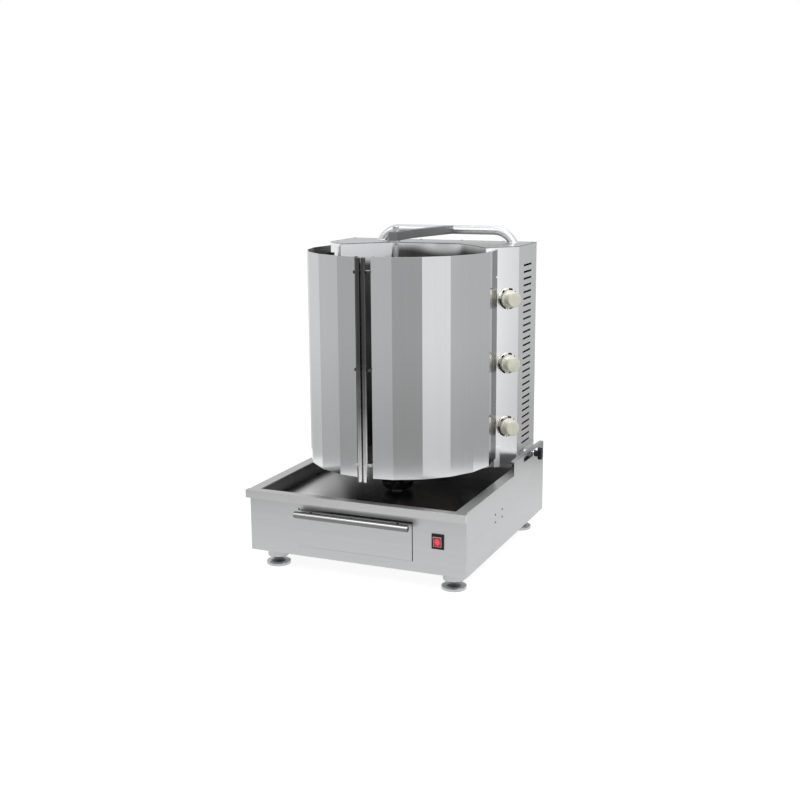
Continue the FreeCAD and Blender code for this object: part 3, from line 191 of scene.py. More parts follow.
# %% Brushed sheet
UPRIGHT = (1500, 1500, 18)
LEVEL = (18, 18, 1500)
ALL_ROUND = (900, 900, 900)
STREAK_SHARE = 0.09
CLOUD_SCALE = 5.0
LIGHTEST = 1.9
FINE_BLUR, CLOUD_BLUR = 0.10, 0.12
SCRATCH_DEPTH = 0.0002
# The tones and the extra blur of painted shade on a sheet.
PAINTED_SHADE_TONES, PAINTED_SHADE_BLUR = (grey(0.045), grey(0.15)), 0.20


def sheet_metal(name, tone, roughness, grain, streak=0.06, cloud=0.05, scratch=0.05, stain=None):
    """Brushed sheet; the stain argument marks where shade is painted dark on it."""
    material, shader, where = new_finish(name, Metallic=1.0)
    fine = where.stretched(grain).noise(1.0, 3.0)
    broad = where.stretched([across * STREAK_SHARE for across in grain]).noise(1.0, 2.0)
    patches = where.noise(CLOUD_SCALE, 3.0)
    level = broad.smooth(0.3, 0.7) * streak + patches * cloud + fine * (streak / 2)
    lightest = min(1.0, tone * LIGHTEST)
    colour = level.blend(grey(tone, STEEL_TINT), grey(lightest, STEEL_TINT))
    rough = roughness + (fine - 0.5) * FINE_BLUR + (patches - 0.5) * CLOUD_BLUR
    # Where the stain argument is given, shade is painted dark on the sheet, patchy and a little rougher.
    if stain:
        film_and_painted_shade = stain(where)
        patchiness = patches.smooth(0.3, 0.7) * 0.7 + broad * 0.3
        colour = film_and_painted_shade.blend(colour, patchiness.blend(*PAINTED_SHADE_TONES))
        rough = rough + film_and_painted_shade * PAINTED_SHADE_BLUR
    return feed(material, shader, {"Base Color": colour, "Roughness": rough,
                                   "Normal": fine.bump(scratch, SCRATCH_DEPTH)})


print("streaks are", round(1 / STREAK_SHARE), "times as broad as scratches")

# %% [markdown]
# ## Painted shade on the doors and in the recess
#
# The doors and the recess are bright outside, and shade is painted dark where they face the meat,
# though each is one sheet. A face of a door looks at the spit when its normal points against its own
# place, because the spit stands at the origin, so a dot product finds the inner faces. The narrow last
# flat beside the hinge is painted dark as well, a painted dark reflection. In the recess the painted
# shade is black low down and stops below the rim; its edge is a little lower in the middle, and higher
# on the right, where it paints the shade of the right wing.

# %% Painted shade on the doors and in the recess
# Painted shade on the doors: dark on faces that look at the spit, and a painted dark reflection on the last flat.
LOOKS_AT_SPIT = (-0.014, -0.004)
LAST_FLAT, LAST_FLAT_SHADE = (0.0105, 0.0125), 0.76
# Painted shade in the recess: black below a cloudy edge that is a little lower in the middle and higher over the
# right wing.
SHADE_EDGE, EDGE_CLOUD = (0.612, 0.638), 0.012
RIGHT_SIDE, RIGHT_RISE = (-0.086, -0.080), 0.030
MIDDLE_FROM, MIDDLE_TO, MIDDLE_DROP = (-0.04, 0.04), (0.065, 0.10), 0.011


def door_painted_shade(where):
    """All of the painted shade on faces that look at the spit, and most of it on the last flat."""
    outward = where.node("ShaderNodeTexCoord", output="Normal")
    away = outward.node("ShaderNodeVectorMath", {"operation": "DOT_PRODUCT"},
                        {0: outward, 1: where}, 1)
    inner = 1 - away.smooth(*LOOKS_AT_SPIT)
    return inner.larger(where.along(1).smooth(*LAST_FLAT) * LAST_FLAT_SHADE)


def recess_painted_shade(where):
    """All of the painted shade below a cloudy edge, and none above it."""
    sideways = where.along(0)
    right_side = sideways.smooth(*RIGHT_SIDE)
    # The wiped mask marks the middle, where the painted shade ends a little lower.
    wiped = sideways.smooth(*MIDDLE_FROM) * (1 - sideways.smooth(*MIDDLE_TO))
    cloud = (where.noise(9.0, 2.0) - 0.5) * EDGE_CLOUD
    # On the right the edge rises, painted shade on the right wing.
    height = where.along(2) - right_side * RIGHT_RISE + wiped * MIDDLE_DROP + cloud
    return 1 - height.smooth(*SHADE_EDGE)


print("painted shade ends between heights:", SHADE_EDGE)

# %% Finishes of sheet and bar
finishes = {
    "brushed_panel": sheet_metal("base sheet", 0.46, 0.36, LEVEL, streak=0.03),
    # The door sheet and the recess sheet carry painted shade.
    "door_steel": sheet_metal("door sheet", 0.66, 0.13, UPRIGHT, streak=0.03, cloud=0.03,
                              scratch=0.02, stain=door_painted_shade),
    "tower_steel": sheet_metal("tower sheet", 0.96, 0.22, UPRIGHT, streak=0.02, cloud=0.03,
                               scratch=0.03),
    "mirror_steel": sheet_metal("recess sheet", 0.94, 0.58, UPRIGHT, scratch=0.02,
                                stain=recess_painted_shade),
    "bracket_steel": sheet_metal("bracket sheet", 0.95, 0.55, UPRIGHT),
    "satin_tube": sheet_metal("satin tube", 0.60, 0.36, ALL_ROUND, streak=0.03),
    "polished_steel": sheet_metal("polished bar", 0.62, 0.14, ALL_ROUND, scratch=0.01),
    "dial_chrome": sheet_metal("dial chrome", 0.90, 0.34, ALL_ROUND, streak=0.02, scratch=0.01),
    "foot_chrome": sheet_metal("foot chrome", 0.46, 0.14, ALL_ROUND, streak=0.03, scratch=0.01),
    "dark_steel": sheet_metal("blackened steel", 0.05, 0.34, ALL_ROUND, streak=0.02, cloud=0.04),
}
print("metal finishes:", len(finishes))

# %% [markdown]
# ## Zinc, cast and coloured metals
#
# The pieces behind the panels have plainer finishes, which show when the drawer is out or a door
# is open. Zinc sets in flat crystals, so a cell pattern breaks its tone. Cast metal keeps the skin
# of the mould as a fine pebble. Brass and copper carry a brown film that thins where hands rub.

# %% Metals behind the panels
CRYSTAL_SCALE = 260.0
PEBBLE_SCALE, PEBBLE_DEPTH = 900.0, 0.0004


def zinc_coat(name, tone):
    """Flat crystals, each with a tone and a gloss of its own."""
    material, shader, where = new_finish(name, Metallic=1.0)
    crystal = where.node("ShaderNodeTexVoronoi", None, {"Vector": where, "Scale": CRYSTAL_SCALE}, 1)
    cell = crystal.node("ShaderNodeSeparateColor", None, {"Color": crystal})
    colour = cell.blend(grey(tone * 0.8), grey(tone * 1.25, 0.02))
    return feed(material, shader, {"Base Color": colour, "Roughness": 0.34 + cell * 0.16})


def cast_metal(name, tone, metallic, roughness):
    """A pebbled skin with a slow stain in it."""
    material, shader, where = new_finish(name, Metallic=metallic)
    pebble = where.noise(PEBBLE_SCALE, 3.0)
    stain = where.noise(30.0, 4.0)
    colour = stain.blend(grey(tone * 0.8), grey(tone * 1.2))
    return feed(material, shader, {"Base Color": colour, "Roughness": roughness + stain * 0.1,
                                   "Normal": pebble.bump(0.25, PEBBLE_DEPTH)})


def coloured_metal(name, bright, film_and_painted_shade):
    """Brass or copper that is bright where it is worn and filmed elsewhere."""
    material, shader, where = new_finish(name, Metallic=1.0)
    worn = where.noise(45.0, 5.0).smooth(0.35, 0.7)
    return feed(material, shader, {"Base Color": worn.blend(film_and_painted_shade, bright),
                                   "Roughness": 0.42 - worn * 0.18,
                                   "Normal": where.noise(700.0).bump(0.08, 0.0003)})


finishes["zinc_steel"] = zinc_coat("zinc plate", 0.52)
finishes["aluminised_steel"] = zinc_coat("aluminised sheet", 0.40)
finishes["cast_housing"] = cast_metal("cast gear case", 0.42, 1.0, 0.45)
finishes["motor_can"] = cast_metal("painted motor can", 0.03, 0.0, 0.4)
finishes["brass"] = coloured_metal("brass", (0.74, 0.52, 0.20, 1.0), (0.42, 0.27, 0.10, 1.0))
finishes["copper_pipe"] = coloured_metal("copper", (0.80, 0.42, 0.26, 1.0), (0.40, 0.20, 0.13, 1.0))
print("with the metals behind the panels:", len(finishes))

# %% [markdown]
# ## Painted shade and a painted highlight on the pan and the bars
#
# The drip pan's rim and lip are wiped and have a tone of their own. Its well is light along the
# left and painted dark elsewhere, a painted shade under the doors and on its left wall. The bars on
# the doors are painted darker upwards, a painted dark reflection. The drawer's chromed handle has a
# painted highlight in a band along its upper front and is painted dark elsewhere. The height of a
# point marks the first two, with some cloud in it, its place from side to side marks the pan's
# painted shade, and the way a face looks marks the band.

# %% Pan
PAN_RIM, RIM_EDGE = 0.1716, 0.0012
PAN_LIP, LIP_EDGE = -0.2462, 0.001
# Painted shade in the well: dark under the doors, from the first pair rightwards, and on its left wall, left of
# the second pair.
PAN_SHADE_FROM, WALL_SHADE_TO = (-0.16, -0.03), (-0.225, -0.18)
PAN_TONES, RIM_TONES = (grey(0.88), grey(0.16)), (grey(0.46), grey(0.54))
WELL_BLUR, SHADE_GLOSS, RIM_BLUR = 0.50, 0.24, 0.30


def pan_with_painted_shade(name):
    """Wiped on the rim and the lip, and in the well painted shade that spares a strip along the left."""
    material, shader, where = new_finish(name, Metallic=1.0)
    rim = where.along(2).smooth(PAN_RIM - RIM_EDGE, PAN_RIM)
    lip = 1 - where.along(1).smooth(PAN_LIP - LIP_EDGE, PAN_LIP)
    wiped = rim.larger(lip)
    sideways = where.along(0)
    # Painted shade under the doors and on the left wall of the well, glossier where it is dark.
    pan_shade = sideways.smooth(*PAN_SHADE_FROM).larger(1 - sideways.smooth(*WALL_SHADE_TO))
    cloud = where.noise(7.0, 4.0)
    well_tone = (pan_shade * 0.85 + cloud * 0.2).blend(*PAN_TONES)
    blur = (WELL_BLUR - pan_shade * SHADE_GLOSS) * (1 - wiped) + wiped * RIM_BLUR
    fine = where.stretched(LEVEL).noise(1.0, 3.0)
    return feed(material, shader, {"Base Color": wiped.blend(well_tone, cloud.blend(*RIM_TONES)),
                                   "Roughness": blur + (cloud - 0.5) * 0.06,
                                   "Normal": fine.bump(0.02, SCRATCH_DEPTH)})


finishes["pan_steel"] = pan_with_painted_shade("pan sheet")
print("the pan is wiped above", PAN_RIM, "and in front of", PAN_LIP)

# %% Bars with painted shade and a handle with a painted highlight
# The door bars are painted dark between these heights, a painted dark reflection.
BAR_SHADE, BAR_TONES = (0.18, 0.45), (grey(0.80), grey(0.085))
# The handle's band is a painted highlight on faces that look a little upwards, with painted dark elsewhere.
BAND_FROM, BAND_TO, BAND_TONES = (0.12, 0.30), (0.50, 0.72), (grey(0.17), grey(0.95))


def shaded_bar(name):
    """A bar that is painted darker and rougher upwards, a painted dark reflection."""
    material, shader, where = new_finish(name, Metallic=1.0)
    film_and_painted_shade = where.along(2) + (where.noise(12.0, 3.0) - 0.5) * 0.1
    return feed(material, shader, {"Base Color": film_and_painted_shade.smooth(*BAR_SHADE).blend(*BAR_TONES),
                                   "Roughness": 0.16 + film_and_painted_shade * 0.12})


def highlighted_bar(name):
    """A chromed bar with a painted highlight along its upper front, painted dark elsewhere."""
    material, shader, where = new_finish(name, Metallic=1.0)
    rise = where.node("ShaderNodeTexCoord", output="Normal").along(2)
    # A painted highlight on faces that look a little upwards; elsewhere the bar is painted dark.
    band = rise.smooth(*BAND_FROM) * (1 - rise.smooth(*BAND_TO))
    cloud = where.noise(20.0, 3.0)
    return feed(material, shader, {"Base Color": band.blend(*BAND_TONES),
                                   "Roughness": 0.10 + cloud * 0.08})


finishes["polished_chrome"] = highlighted_bar("handle chrome")
door_bar = shaded_bar("shaded bar")
print("the door bars darken between heights:", BAR_SHADE)

# %% [markdown]
# ## Pieces with a finish of their own
#
# A few pieces share a kind of steel with others but are seen in another state: the lid is dulled
# by heat and the arm is blackened, while the spit has a lighter tone than the other bars, painted
# light for the light that the dark drum keeps from it. They are looked up by name before their kind
# of steel is.

# %% Finishes for single pieces
own_finish = {
    "tower_top": sheet_metal("lid sheet", 0.36, 0.26, LEVEL, streak=0.03),
    "spit_arm": sheet_metal("arm bar", 0.22, 0.46, UPRIGHT, streak=0.03),
    # The spit's lighter tone is painted light, for the light that the dark drum keeps from it.
    "spit_bar": sheet_metal("spit bar", 0.95, 0.30, UPRIGHT, streak=0.02, scratch=0.01),
    "lid_rivets": sheet_metal("rivet head", 0.36, 0.50, ALL_ROUND, streak=0.02),
    "meat_disc": sheet_metal("disc sheet", 0.40, 0.34, LEVEL, streak=0.03),
    "foot_sockets": sheet_metal("socket sheet", 0.46, 0.38, ALL_ROUND, streak=0.02, scratch=0.02),
    "drive_hub": sheet_metal("hub casting", 0.10, 0.24, ALL_ROUND, streak=0.02),
    "right_door_handle": door_bar,
    "left_door_handle": door_bar,
}
print("finishes of their own:", sorted(own_finish))

# %% [markdown]
# ## Moulded plastic, burner tiles and the lit lens
#
# Knobs, clamp wings and switch frame are moulded: an even colour, a slight grain from the mould,
# and a soft gloss. The burner tiles are porous ceramic with a close grid of flame holes. The holes
# are far too many to model, so two sine waves across the tile mark them as dark dots, painted shade
# in the holes, that also dip. The rocker is a red lens with a lamp behind it, so it glows in the
# middle; its colour is painted light in the middle and painted shade in its corners, and its edge
# has a pale painted highlight.

# %% Plastics and ceramic
TILE_HOLE_PITCH = 3.6 * MM
# The third colour is painted shade in the flame holes.
CLAY, SCORCHED, HOLE_SHADE = (0.80, 0.68, 0.55, 1.0), (0.62, 0.47, 0.36, 1.0), (0.05, 0.035, 0.03, 1.0)


def moulded(name, colour, roughness, coat=0.0, shine=0.5):
    """An even colour with a slight grain."""
    material, shader, where = new_finish(name, Coat_Weight=coat, Specular_IOR_Level=shine)
    grain = where.noise(2200.0, 2.0)
    mottle = where.noise(60.0, 3.0)
    darker = [part * 0.86 for part in colour[:3]] + [1.0]
    return feed(material, shader, {"Base Color": mottle.smooth(0.2, 0.8).blend(darker, colour),
                                   "Roughness": roughness + (grain - 0.5) * 0.08,
                                   "Normal": grain.bump(0.06, 0.0002)})


def burner_tile(name):
    """Scorched clay with a grid of flame holes that are painted dark as shade."""
    material, shader, where = new_finish(name)
    turn = 2 * math.pi / TILE_HOLE_PITCH
    waves = [where.node("ShaderNodeMath", {"operation": "SINE"}, {0: where.along(axis) * turn})
             for axis in (0, 2)]
    hole = (waves[0] * waves[1]).smooth(0.25, 0.6)
    scorch = where.noise(35.0, 4.0).smooth(0.35, 0.75)
    return feed(material, shader, {"Base Color": hole.blend(scorch.blend(CLAY, SCORCHED), HOLE_SHADE),
                                   "Roughness": 0.85 + scorch * 0.1,
                                   "Normal": (1 - hole).bump(0.6, 0.0008)})


finishes["black_plastic"] = moulded("black moulding", (0.010, 0.010, 0.012, 1.0), 0.46, shine=0.22)
finishes["cream_plastic"] = moulded("cream moulding", (0.75, 0.735, 0.60, 1.0), 0.36, coat=0.15)
finishes["ceramic"] = burner_tile("burner ceramic")
print("flame holes every", TILE_HOLE_PITCH, "m")

# %% Lit lens
LENS_MIDDLE = (0.1826, 0.1085)
LENS_HALF = (0.0087, 0.0114)
# Painted shade in the lens's corners and painted light in its middle; the glow colours are the switch lamp.
LENS_SHADED, LENS_LIT = (0.22, 0.001, 0.004, 1.0), (0.90, 0.02, 0.05, 1.0)
GLOW_DEEP, GLOW_LIT = (0.10, 0.0, 0.001, 1.0), (1.0, 0.12, 0.16, 1.0)
# A painted highlight along the lens's edge.
LENS_HIGHLIGHT = (0.42, 0.33, 0.31, 1.0)


def lit_lens(name):
    """A red lens lit from behind; its colour has painted shade in the corners and a painted highlight."""
    material, shader, where = new_finish(name, Roughness=0.12, Specular_IOR_Level=0.3,
                                         Emission_Strength=0.4)
    sideways, upwards = [(where.along(axis) - middle) / half
                         for axis, middle, half in zip((0, 2), LENS_MIDDLE, LENS_HALF)]
    sideways, upwards = sideways * sideways, upwards * upwards
    # The middle is painted light and the corners painted shade; the pale edge is a painted highlight.
    lamp = 1 - (sideways + upwards).smooth(0.0, 0.9)
    edge = sideways.larger(upwards).smooth(0.66, 0.76)
    colour, glow = lamp.blend(LENS_SHADED, LENS_LIT), lamp.blend(GLOW_DEEP, GLOW_LIT)
    return feed(material, shader, {"Base Color": edge.blend(colour, LENS_HIGHLIGHT),
                                   "Emission Color": edge.blend(glow, grey(0.0))})


finishes["red_plastic"] = lit_lens("red lens")
print("finishes:", len(finishes))

# %% [markdown]
# ## Giving every CAD piece its finish
#
# The packed record names a material slot for each CAD node, so one loop dresses them all. The
# sheets among them have sharp folds, and those that need a soft fold are replaced further on.

# %% Dress the CAD nodes
slot_of = {part["node"]: part["material_slot"] for part in frame["record"]["subparts"]}


def finish_of(node_name):
    return own_finish.get(node_name, finishes[slot_of[node_name]])


for node_name, slot in slot_of.items():
    node = frame["nodes"][node_name]
    node.data.materials.clear()
    node.data.materials.append(finish_of(node_name))
print("dressed:", len(slot_of))

# %% [markdown]
# ## Small pieces made in a bmesh
#
# A new piece is shaped upright round the Z axis, where its numbers are easy to read, and then
# moved to its place. Its object stays at the origin, as a CAD node's does. Shading is smooth up to
# a limit, which keeps folds crisp and makes tubes round.

# %% Helpers for new pieces
SAME_POINT = 1e-6
SHARP_BEND = 32


def facing(point, direction):
    """The move that stands a piece made on the Z axis at a point, looking along a direction."""
    turn = Vector(direction).to_track_quat("Z", "Y").to_matrix().to_4x4()
    return Matrix.Translation(point) @ turn


def lathe(shape, profile, steps=48):
    """Turns an outline of (radius, height) in millimetres round Z."""
    points = [shape.verts.new((radius * MM, 0, height * MM)) for radius, height in profile]
    edges = [shape.edges.new(pair) for pair in zip(points, points[1:])]
    bmesh.ops.spin(shape, geom=points + edges, cent=(0, 0, 0), axis=(0, 0, 1),
                   angle=2 * math.pi, steps=steps, use_merge=True)
    bmesh.ops.remove_doubles(shape, verts=shape.verts, dist=SAME_POINT)
    return shape


def add_in(shape, part):
    """Joins one bmesh to another through a mesh, which is then removed."""
    carrier = bpy.data.meshes.new("carrier")
    part.to_mesh(carrier)
    part.free()
    shape.from_mesh(carrier)
    bpy.data.meshes.remove(carrier)


print("sharp from:", SHARP_BEND, "degrees")

# %% Placing a new piece


def piece(name, shape, body, slot, moves=(Matrix.Identity(4),), finish=None):
    """Makes one object from a bmesh, copied to each place, and lets it ride on a CAD body."""
    bmesh.ops.recalc_face_normals(shape, faces=shape.faces)
    original = shape.verts[:] + shape.edges[:] + shape.faces[:]
    for move in moves[1:]:
        copy = bmesh.ops.duplicate(shape, geom=original)["geom"]
        bmesh.ops.transform(shape, matrix=move,
                            verts=[part for part in copy if isinstance(part, bmesh.types.BMVert)])
    bmesh.ops.transform(shape, matrix=moves[0],
                        verts=[part for part in original if isinstance(part, bmesh.types.BMVert)])
    mesh = bpy.data.meshes.new(name)
    shape.to_mesh(mesh)
    shape.free()
    mesh.shade_smooth()
    mesh.set_sharp_from_angle(angle=math.radians(SHARP_BEND))
    mesh.materials.append(finish or finishes[slot])
    made = bpy.data.objects.new(name, mesh)
    bpy.context.scene.collection.objects.link(made)
    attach(made, body)
    print(name, "faces:", len(mesh.polygons))
    return made


# %% [markdown]
# ## Folds that catch the light
#
# Sheet can't be folded to a knife edge: each bend has a small radius, and that radius is the thin
# bright line which tells the eye that it is metal. The CAD sheet has sharp folds, so a copy of it
# is merged, its flat triangles are dissolved, and the edges between two broad faces are bevelled.
# The edges of the sheet itself are narrow, so the same test leaves them alone. A weighted normal
# keeps the flats flat beside the bend.

# %% Rounded folds
BROAD = 3.0
LEAST_BEND, SLIGHT_BEND = 8, 45
FLAT = 1


def fold(edge):
    """True between two broad faces, for a bend seen from outside or a slight one from inside."""
    breadth = min(face.calc_area() for face in edge.link_faces) / edge.calc_length() / MM
    bend = math.degrees(edge.calc_face_angle())
    return breadth > BROAD and bend > LEAST_BEND and (edge.is_convex or bend < SLIGHT_BEND)


def rounded(node_name, body, radius, test=fold, segments=4):
    """Replaces a CAD piece by a copy whose chosen edges are rounded."""
    shape = bmesh.new()
    shape.from_mesh(frame["nodes"][node_name].data)
    bmesh.ops.remove_doubles(shape, verts=shape.verts, dist=SAME_POINT)
    bmesh.ops.dissolve_limit(shape, angle_limit=math.radians(FLAT), verts=shape.verts,
                             edges=shape.edges)
    chosen = [edge for edge in shape.edges if len(edge.link_faces) == 2 and test(edge)]
    bmesh.ops.bevel(shape, geom=chosen, offset=radius * MM, segments=segments, profile=0.5,
                    affect="EDGES", clamp_overlap=True, material=-1)
    made = piece(node_name + "_folded", shape, body, slot_of[node_name],
                 finish=finish_of(node_name))
    made.modifiers.new("flats stay flat", "WEIGHTED_NORMAL").keep_sharp = True
    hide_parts(node_name)
    print("   rounded edges:", len(chosen))


rounded("right_door", "right_door", 3.0)
rounded("left_door", "left_door", 3.0)
rounded("drip_pan", "base", 1.6)
rounded("base_casing", "base", 1.5)
rounded("side_panel_right", "tower", 1.5)
rounded("side_panel_left", "tower", 1.5)

# %% [markdown]
# ## The dished rocker
#
# The rocker's face is dished, so that a finger finds its place. Its CAD solid has a plain V across
# it, and one wide bevel of the valley turns the V into the dish.

# %% Rocker
DISH_RADIUS, DISH_STEPS = 4.5, 8
SIDEWAYS = 0.9


def valley(edge):
    """True for an inward fold that runs from side to side."""
    run = edge.verts[1].co - edge.verts[0].co
    return abs(run.x) > SIDEWAYS * run.length and not edge.is_convex


rounded("switch_rocker", "rocker", DISH_RADIUS, valley, DISH_STEPS)

# %% [markdown]
# ## Gas knobs
#
# Each burner has a cream knob: a plain drum with a rounded rim and a shallow crown, and a rib
# across its face that shows where it points. The drum is a lathe job, and the rib is a block whose
# edges are bevelled. The knob's joint in the packed record gives its place and its axis.

# %% Knobs
KNOB_PLACE_OUT = 20.0
KNOB_BACK_OUT = 6.6
KNOB_LENGTH = 23.5
RIB_LENGTH, RIB_WIDTH, RIB_RISE, RIB_EDGE = 27.0, 3.6, 0.5, 0.4
KNOB_DRUM = ((0, 0), (18.2, 0), (19.0, 0.8), (19.0, 2.6), (18.4, 3.4), (17.2, 4.2),
             (16.5, 20.2), (16.1, 21.6), (15.2, 22.6), (13.8, 23.0), (8.0, 23.0), (0, 23.0))


def panel_move(number, out):
    """Where knob number's axis is, a distance out of the panel in millimetres."""
    joint = joints["knob_%d_turn" % number]
    axis = Vector(joint["axis"]).normalized()
    return facing(Vector(joint["pos_m"]) + axis * (out - KNOB_PLACE_OUT) * MM, axis)


for number in (1, 2, 3):
    drum = lathe(bmesh.new(), KNOB_DRUM, 64)
    rib = bmesh.ops.create_cube(drum, size=1.0)["verts"]
    bmesh.ops.scale(drum, vec=(RIB_WIDTH * MM, RIB_LENGTH * MM, RIB_RISE * 2 * MM), verts=rib)
    bmesh.ops.translate(drum, vec=(0, 0, (KNOB_LENGTH - RIB_RISE) * MM), verts=rib)
    rib_edges = {edge for vert in rib for edge in vert.link_edges}
    bmesh.ops.bevel(drum, geom=list(rib_edges), offset=RIB_EDGE * MM, segments=3, profile=0.5,
                    affect="EDGES", material=-1)
    knob = piece("knob_cap_%d" % number, drum, "knob_%d" % number, "cream_plastic",
                 [panel_move(number, KNOB_BACK_OUT)])
    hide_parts("gas_knob_%d" % number)

# %% [markdown]
# ## Marks on the dials
#
# Round each knob the chromed dial carries printed marks: a broad arc that grows with the flame and
# a few short dashes for off and spark. They are generic, and they are thin pads of black ink,
# spun as a slice of a ring so that they lie flat on the dial.

# %% Dial marks
DIAL_FACE_OUT = 3.0
INK_THICK = 0.12
INK_INNER, INK_OUTER = 19.2, 23.1
INK_STEP = 5
INK_ARCS = ((176, 78), (262, 5), (276, 32), (120, 18), (62, 26), (38, 6), (8, 7))


def ink_slice(shape, start, sweep):
    """A flat slice of a ring, from a start angle over a sweep in degrees."""
    corners = ((INK_INNER, 0), (INK_OUTER, 0), (INK_OUTER, INK_THICK), (INK_INNER, INK_THICK))
    turn = Matrix.Rotation(math.radians(start), 3, "Z")
    points = [shape.verts.new(turn @ Vector((radius * MM, 0, height * MM)))
              for radius, height in corners]
    first = shape.faces.new(points)
    bmesh.ops.spin(shape, geom=[first], cent=(0, 0, 0), axis=(0, 0, 1),
                   angle=math.radians(sweep), steps=max(2, sweep // INK_STEP))


dial_ink = bmesh.new()
for start, sweep in INK_ARCS:
    ink_slice(dial_ink, start, sweep)
piece("dial_marks", dial_ink, "tower", "black_plastic",
      [panel_move(number, DIAL_FACE_OUT) for number in (1, 2, 3)])

# %% [markdown]
# ## Levelling feet
#
# Each foot is a chromed disc with a domed top on a threaded stud. The thread is a real helix: a
# small wedge is spun round the stud while it climbs, which the spin operator does when it is given
# a shift for each step.

# %% Feet
FOOT_DISC = ((0, 0), (24.2, 0), (25.5, 0.7), (26.0, 2.0), (26.0, 5.4), (25.4, 7.2), (22.8, 9.0),
             (17.5, 10.8), (13.2, 12.2), (12.0, 13.4), (11.2, 14.5), (0, 14.5))
STUD_CORE, STUD_LOW, STUD_HIGH, STUD_CHAMFER = 5.3, 14.2, 61.0, 0.8
THREAD_PITCH, THREAD_RISE, THREAD_SUNK, THREAD_START = 1.75, 0.65, 0.2, 1
THREAD_STEPS = 20


def threaded_stud(shape):
    """A core with a chamfered end, and a wedge that climbs round it as the thread."""
    end = STUD_HIGH + STUD_CHAMFER
    lathe(shape, ((0, STUD_LOW), (STUD_CORE, STUD_LOW), (STUD_CORE, STUD_HIGH),
                  (STUD_CORE - STUD_CHAMFER, end), (0, end)), 32)
    turns = int((STUD_HIGH - STUD_LOW) / THREAD_PITCH) - 2
    root, crest = STUD_CORE - THREAD_SUNK, STUD_CORE + THREAD_RISE
    wedge = ((root, 0), (crest, THREAD_PITCH * 0.45), (crest, THREAD_PITCH * 0.55),
             (root, THREAD_PITCH))
    points = [shape.verts.new((radius * MM, 0, (STUD_LOW + THREAD_START + height) * MM))
              for radius, height in wedge]
    edges = [shape.edges.new(pair) for pair in zip(points, points[1:])]
    bmesh.ops.spin(shape, geom=points + edges, cent=(0, 0, 0), axis=(0, 0, 1),
                   angle=2 * math.pi * turns, steps=turns * THREAD_STEPS,
                   dvec=(0, 0, THREAD_PITCH * MM / THREAD_STEPS))


for number in (1, 2, 3, 4):
    node = "levelling_foot_%d" % number
    low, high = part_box(node)
    foot = lathe(bmesh.new(), FOOT_DISC, 64)
    threaded_stud(foot)
    disc = piece("foot_disc_%d" % number, foot, "foot_%d" % number, "foot_chrome",
                 [Matrix.Translation(((low.x + high.x) / 2, (low.y + high.y) / 2, 0))])
    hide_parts(node)

# %% [markdown]
# ## Rivets and screws
#
# Blind rivets hold the lid and the brackets inside the base. A blind rivet has a low dome with
# the hole of its mandrel in the middle, so it is one lathe profile. The rear cover comes off for
# service and has hexagon-head screws with a washer face.

# %% Shapes of rivets and screws
SUNK = 0.2
WASHER = 0.7


def rivet_head(radius, rise):
    """A low dome with the open end of its mandrel hole."""
    return lathe(bmesh.new(), ((0, -SUNK), (radius, -SUNK), (radius, rise * 0.15),
                               (radius * 0.9, rise * 0.5), (radius * 0.62, rise * 0.88),
                               (radius * 0.34, rise), (radius * 0.28, rise * 0.5),
                               (0, rise * 0.5)), 24)


def hexagon_screw(flats, rise):
    """A hexagon head on a round washer face."""
    rim_radius, corner = flats * 0.72, flats / math.sqrt(3) * MM
    head = lathe(bmesh.new(), ((0, -SUNK), (rim_radius, -SUNK), (rim_radius, 0.4),
                               (flats * 0.6, WASHER), (0, WASHER)), 32)
    nut = bmesh.ops.create_cone(head, cap_ends=True, segments=6, radius1=corner, radius2=corner,
                                depth=rise * MM)["verts"]
    bmesh.ops.translate(head, vec=(0, 0, (WASHER + rise / 2) * MM), verts=nut)
    upper = {edge for vert in nut for edge in vert.link_edges
             if all(end.co.z > rise * MM for end in edge.verts)}
    bmesh.ops.bevel(head, geom=list(upper), offset=0.4 * MM, segments=2, profile=0.5,
                    affect="EDGES", material=-1)
    return head


# %% Rivets and screws in their places
side_low, side_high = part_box("side_panel_right")
side_depth = side_high.y - side_low.y
lid_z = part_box("tower_top")[1].z
LID_EDGE, LID_CORNER = 7 * MM, (32 * MM, 36 * MM)
LID_SIDE_ROW, LID_BACK_ROW = (0.46, 0.70, 0.94), (-150, -50, 50, 150)

lid_places = [(side * (side_high.x - LID_EDGE), side_low.y + share * side_depth, lid_z)
              for side in (-1, 1) for share in LID_SIDE_ROW]
lid_places += [(side * (side_high.x - LID_CORNER[0]), side_low.y + LID_CORNER[1], lid_z)
               for side in (-1, 1)]
lid_places += [(x * MM, side_high.y - LID_EDGE, lid_z) for x in LID_BACK_ROW]
piece("lid_rivets", rivet_head(3.0, 1.4), "tower", "tower_steel",
      [facing(place, (0, 0, 1)) for place in lid_places], finish=own_finish["lid_rivets"])

base_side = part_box("base_casing")[1].x
base_places = [(base_side, y * MM, z * MM) for y in (-71.5, -28.0) for z in (121, 104.5)]
piece("base_rivets", rivet_head(2.2, 0.9), "base", "dark_steel",
      [facing(place, (1, 0, 0)) for place in base_places])

cover_places = [(x * MM, side_high.y, z * MM) for x in (-222, -75, 75, 222)
                for z in (205, 425, 648)]
piece("cover_screws", hexagon_screw(5.5, 2.2), "tower", "polished_steel",
      [facing(place, (0, 1, 0)) for place in cover_places])

# %% [markdown]
# ## Collars, knurl and weld beads
#
# The clamp wings turn on a bright collar. The centring pin's head has a knurl, a ring of small
# upright ridges that fingers can hold when they are greasy. The arch is welded to the lid, and
# each weld is a bead round the tube, a little wider along X because the tube meets the lid at a
# slant.

